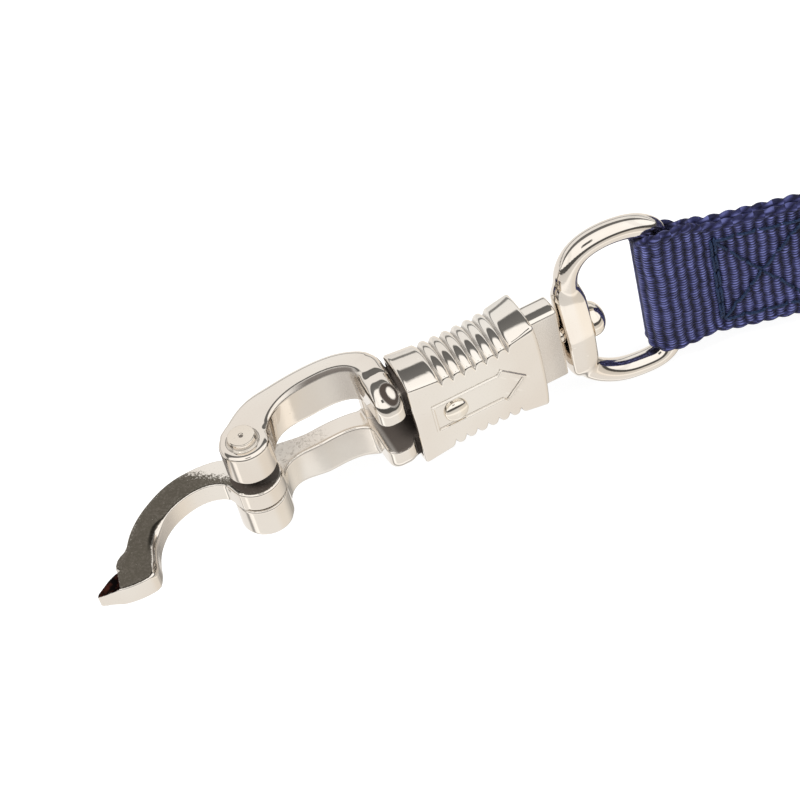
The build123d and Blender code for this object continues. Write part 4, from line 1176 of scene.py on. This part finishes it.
# ------------------------------------------------------------------ stage
def floor():
    me = bpy.data.meshes.new("floor")
    z = FLOOR_Z * 0.001 - 0.00002
    me.from_pydata([(-6, -6, z), (6, -6, z), (6, 6, z), (-6, 6, z)], [], [(0, 1, 2, 3)])
    ob = bpy.data.objects.new("floor", me)
    bpy.context.scene.collection.objects.link(ob)
    N = Nodes("floor_paper")
    b = N.n("ShaderNodeBsdfPrincipled")
    b.inputs["Base Color"].default_value = (0.93, 0.925, 0.92, 1)
    b.inputs["Roughness"].default_value = 0.9
    b.inputs["Specular IOR Level"].default_value = 0.1
    tc = N.t.nodes.new("ShaderNodeTexCoord")
    grain = N.noise(tc.outputs["Object"], 300.0, 3.0)
    N.link(N.bump(grain, 0.05, 0.0002), b.inputs["Normal"])
    glow = N.t.nodes.new("ShaderNodeEmission")
    glow.inputs[0].default_value = (0.985, 0.985, 0.985, 1)
    glow.inputs[1].default_value = 1.22
    mix = N.t.nodes.new("ShaderNodeMixShader")
    mix.inputs[0].default_value = 0.30
    N.link(glow.outputs[0], mix.inputs[1])
    N.link(b.outputs[0], mix.inputs[2])
    N.link(mix.outputs[0], N.out.inputs[0])
    ob.data.materials.append(N.m)
    ob.visible_glossy = False
    return ob


floor()


def world():
    w = bpy.data.worlds.new("studio")
    bpy.context.scene.world = w
    w.use_nodes = True
    t = w.node_tree
    t.nodes.clear()
    out = t.nodes.new("ShaderNodeOutputWorld")
    lp = t.nodes.new("ShaderNodeLightPath")
    tc = t.nodes.new("ShaderNodeTexCoord")
    sep = t.nodes.new("ShaderNodeSeparateXYZ")
    t.links.new(tc.outputs["Generated"], sep.inputs[0])

    def m(op, a, b=None, clamp=False):
        n = t.nodes.new("ShaderNodeMath")
        n.operation, n.use_clamp = op, clamp
        for i, v in enumerate((a, b)):
            if v is None:
                continue
            if isinstance(v, (int, float)):
                n.inputs[i].default_value = v
            else:
                t.links.new(v, n.inputs[i])
        return n.outputs[0]

    # angle over the stage, from the front horizon (0) through overhead (0.5) to the back horizon (1)
    def band(x, lo, hi, soft=0.02):
        n1 = t.nodes.new("ShaderNodeMapRange")
        n1.interpolation_type = "SMOOTHSTEP"
        t.links.new(x, n1.inputs[0])
        n1.inputs[1].default_value, n1.inputs[2].default_value = lo - soft, lo + soft
        n2 = t.nodes.new("ShaderNodeMapRange")
        n2.interpolation_type = "SMOOTHSTEP"
        t.links.new(x, n2.inputs[0])
        n2.inputs[1].default_value, n2.inputs[2].default_value = hi - soft, hi + soft
        return m("SUBTRACT", n1.outputs[0], n2.outputs[0])

    def ramp_node(fac, stops):
        r = t.nodes.new("ShaderNodeValToRGB")
        els = r.color_ramp.elements
        while len(els) > 1:
            els.remove(els[-1])
        for i, (p, c) in enumerate(stops):
            e = els[0] if i == 0 else els.new(p)
            e.position = p
            e.color = (c, c * 0.99, c * 0.975, 1)
        t.links.new(fac, r.inputs[0])
        return r.outputs[0]

    ang = m("DIVIDE", m("ARCTAN2", sep.outputs[2], m("MULTIPLY", sep.outputs[1], -1.0)), math.pi)
    ang = m("ADD", ang, m("MULTIPLY", sep.outputs[0], 0.03))
    sky = ramp_node(ang, [(0.0, 0.10), (0.055, 0.09), (0.075, 1.25), (0.35, 1.30), (0.53, 1.22), (0.555, 0.20), (0.69, 0.15), (0.71, 1.03), (0.87, 0.98), (0.885, 0.25), (0.915, 0.25), (0.93, 0.95), (1.0, 0.85)])
    # the dark camera and its stand, straight along the viewing direction
    cam = m("MULTIPLY", band(ang, 0.215, 0.315, 0.012), band(sep.outputs[0], -0.30, 0.02, 0.03))
    # a dark flag to the right and one to the left
    flag = m("ADD", band(sep.outputs[0], 0.66, 0.80, 0.02), band(sep.outputs[0], -0.86, -0.72, 0.02))
    shade = m("SUBTRACT", 1.0, m("MULTIPLY", m("MAXIMUM", cam, m("MULTIPLY", flag, 0.12)), 0.90))
    sky_m = t.nodes.new("ShaderNodeVectorMath")
    sky_m.operation = "SCALE"
    t.links.new(sky, sky_m.inputs[0])
    t.links.new(shade, sky_m.inputs[3])
    # the paper below: bright in front, a dark edge to its left, greyer and warmer to the right and behind
    fwd = m("ADD", m("MULTIPLY", sep.outputs[1], 0.5), 0.5)
    left = ramp_node(fwd, [(0.0, 1.0), (0.40, 1.0), (0.43, 1.35), (0.505, 1.18), (0.54, 0.42), (0.58, 0.42), (0.63, 0.98), (1.0, 1.0)])
    right = ramp_node(fwd, [(0.0, 1.0), (0.36, 0.93), (0.50, 0.80), (0.62, 0.60), (0.69, 0.36), (0.75, 0.36), (0.80, 0.96), (1.0, 1.0)])
    warm = t.nodes.new("ShaderNodeVectorMath")
    warm.operation = "MULTIPLY"
    t.links.new(right, warm.inputs[0])
    warm.inputs[1].default_value = (1.0, 0.965, 0.915)
    side = t.nodes.new("ShaderNodeMapRange")
    side.interpolation_type = "SMOOTHSTEP"
    t.links.new(sep.outputs[0], side.inputs[0])
    side.inputs[1].default_value, side.inputs[2].default_value = 0.10, 0.45
    paper = t.nodes.new("ShaderNodeMix")
    paper.data_type = "RGBA"
    t.links.new(side.outputs[0], paper.inputs[0])
    t.links.new(left, paper.inputs[6])
    t.links.new(warm.outputs[0], paper.inputs[7])
    near_h = ramp_node(m("MULTIPLY", sep.outputs[2], -1.0), [(0.0, 0.10), (0.13, 0.10), (0.18, 0.80), (0.465, 0.86), (0.515, 1.22), (0.60, 1.22), (0.68, 1.0), (1.0, 0.97)])
    front = t.nodes.new("ShaderNodeMapRange")
    front.interpolation_type = "SMOOTHSTEP"
    t.links.new(sep.outputs[1], front.inputs[0])
    front.inputs[1].default_value, front.inputs[2].default_value = 0.35, 0.05
    lit = t.nodes.new("ShaderNodeMix")
    lit.data_type = "RGBA"
    t.links.new(front.outputs[0], lit.inputs[0])
    lit.inputs[6].default_value = (1.0, 0.99, 0.98, 1.0)
    t.links.new(near_h, lit.inputs[7])
    low = t.nodes.new("ShaderNodeVectorMath")
    low.operation = "MULTIPLY"
    t.links.new(paper.outputs[2], low.inputs[0])
    t.links.new(lit.outputs[2], low.inputs[1])
    below = m("LESS_THAN", sep.outputs[2], 0.0)
    mixb = t.nodes.new("ShaderNodeMix")
    mixb.data_type = "RGBA"
    t.links.new(below, mixb.inputs[0])
    t.links.new(sky_m.outputs[0], mixb.inputs[6])
    t.links.new(low.outputs[0], mixb.inputs[7])
    bg_gloss = t.nodes.new("ShaderNodeBackground")
    t.links.new(mixb.outputs[2], bg_gloss.inputs[0])
    bg_gloss.inputs[1].default_value = 1.0
    bg_soft = t.nodes.new("ShaderNodeBackground")
    bg_soft.inputs[0].default_value = (0.97, 0.98, 1.0, 1)
    bg_soft.inputs[1].default_value = 0.62
    mixs = t.nodes.new("ShaderNodeMixShader")
    t.links.new(lp.outputs["Is Glossy Ray"], mixs.inputs[0])
    t.links.new(bg_soft.outputs[0], mixs.inputs[1])
    t.links.new(bg_gloss.outputs[0], mixs.inputs[2])
    t.links.new(mixs.outputs[0], out.inputs[0])


world()


def area(name, loc, target, size, power, color=(1, 1, 1), glossy=False):
    L = bpy.data.lights.new(name, "AREA")
    L.shape, L.size, L.energy, L.color = "DISK", size, power, color
    ob = bpy.data.objects.new(name, L)
    bpy.context.scene.collection.objects.link(ob)
    ob.location = loc
    d = Vector(target) - Vector(loc)
    ob.rotation_euler = d.to_track_quat("-Z", "Y").to_euler()
    ob.visible_glossy = glossy
    return ob


area("key", (-0.42, -0.18, 0.70), (0.06, 0, 0), 0.30, 8.5)
area("fill", (0.6, -0.5, 0.6), (0.03, 0, 0), 0.7, 3.0)


def camera():
    e, a, r = math.radians(47.5), math.radians(-13.5), math.radians(16.2)
    back = np.array([math.sin(a) * math.cos(e), -math.cos(a) * math.cos(e), math.sin(e)])
    right = np.array([math.cos(a), math.sin(a), 0.0])
    up = np.cross(back, right)
    c, s = math.cos(r), math.sin(r)
    right, up = c * right - s * up, s * right + c * up
    dist = 2600.0 / 6.3
    x, y = (256.2 - 400) * dist / 2600.0, -(478.0 - 400) * dist / 2600.0
    pos = -(x * right + y * up - dist * back)
    pos = pos + np.array([PIN_X, 1.0, 0.0])
    cam = bpy.data.cameras.new("camera")
    cam.sensor_width = 36.0
    cam.sensor_fit = "HORIZONTAL"
    cam.lens = 2600.0 / 800.0 * 36.0
    cam.clip_start, cam.clip_end = 0.01, 20.0
    ob = bpy.data.objects.new("camera", cam)
    bpy.context.scene.collection.objects.link(ob)
    M = Matrix.Identity(4)
    for i in range(3):
        M[i][0], M[i][1], M[i][2], M[i][3] = right[i], up[i], back[i], pos[i] * 0.001
    ob.matrix_world = M
    bpy.context.scene.camera = ob


camera()
bpy.context.scene.view_settings.view_transform = "Standard"
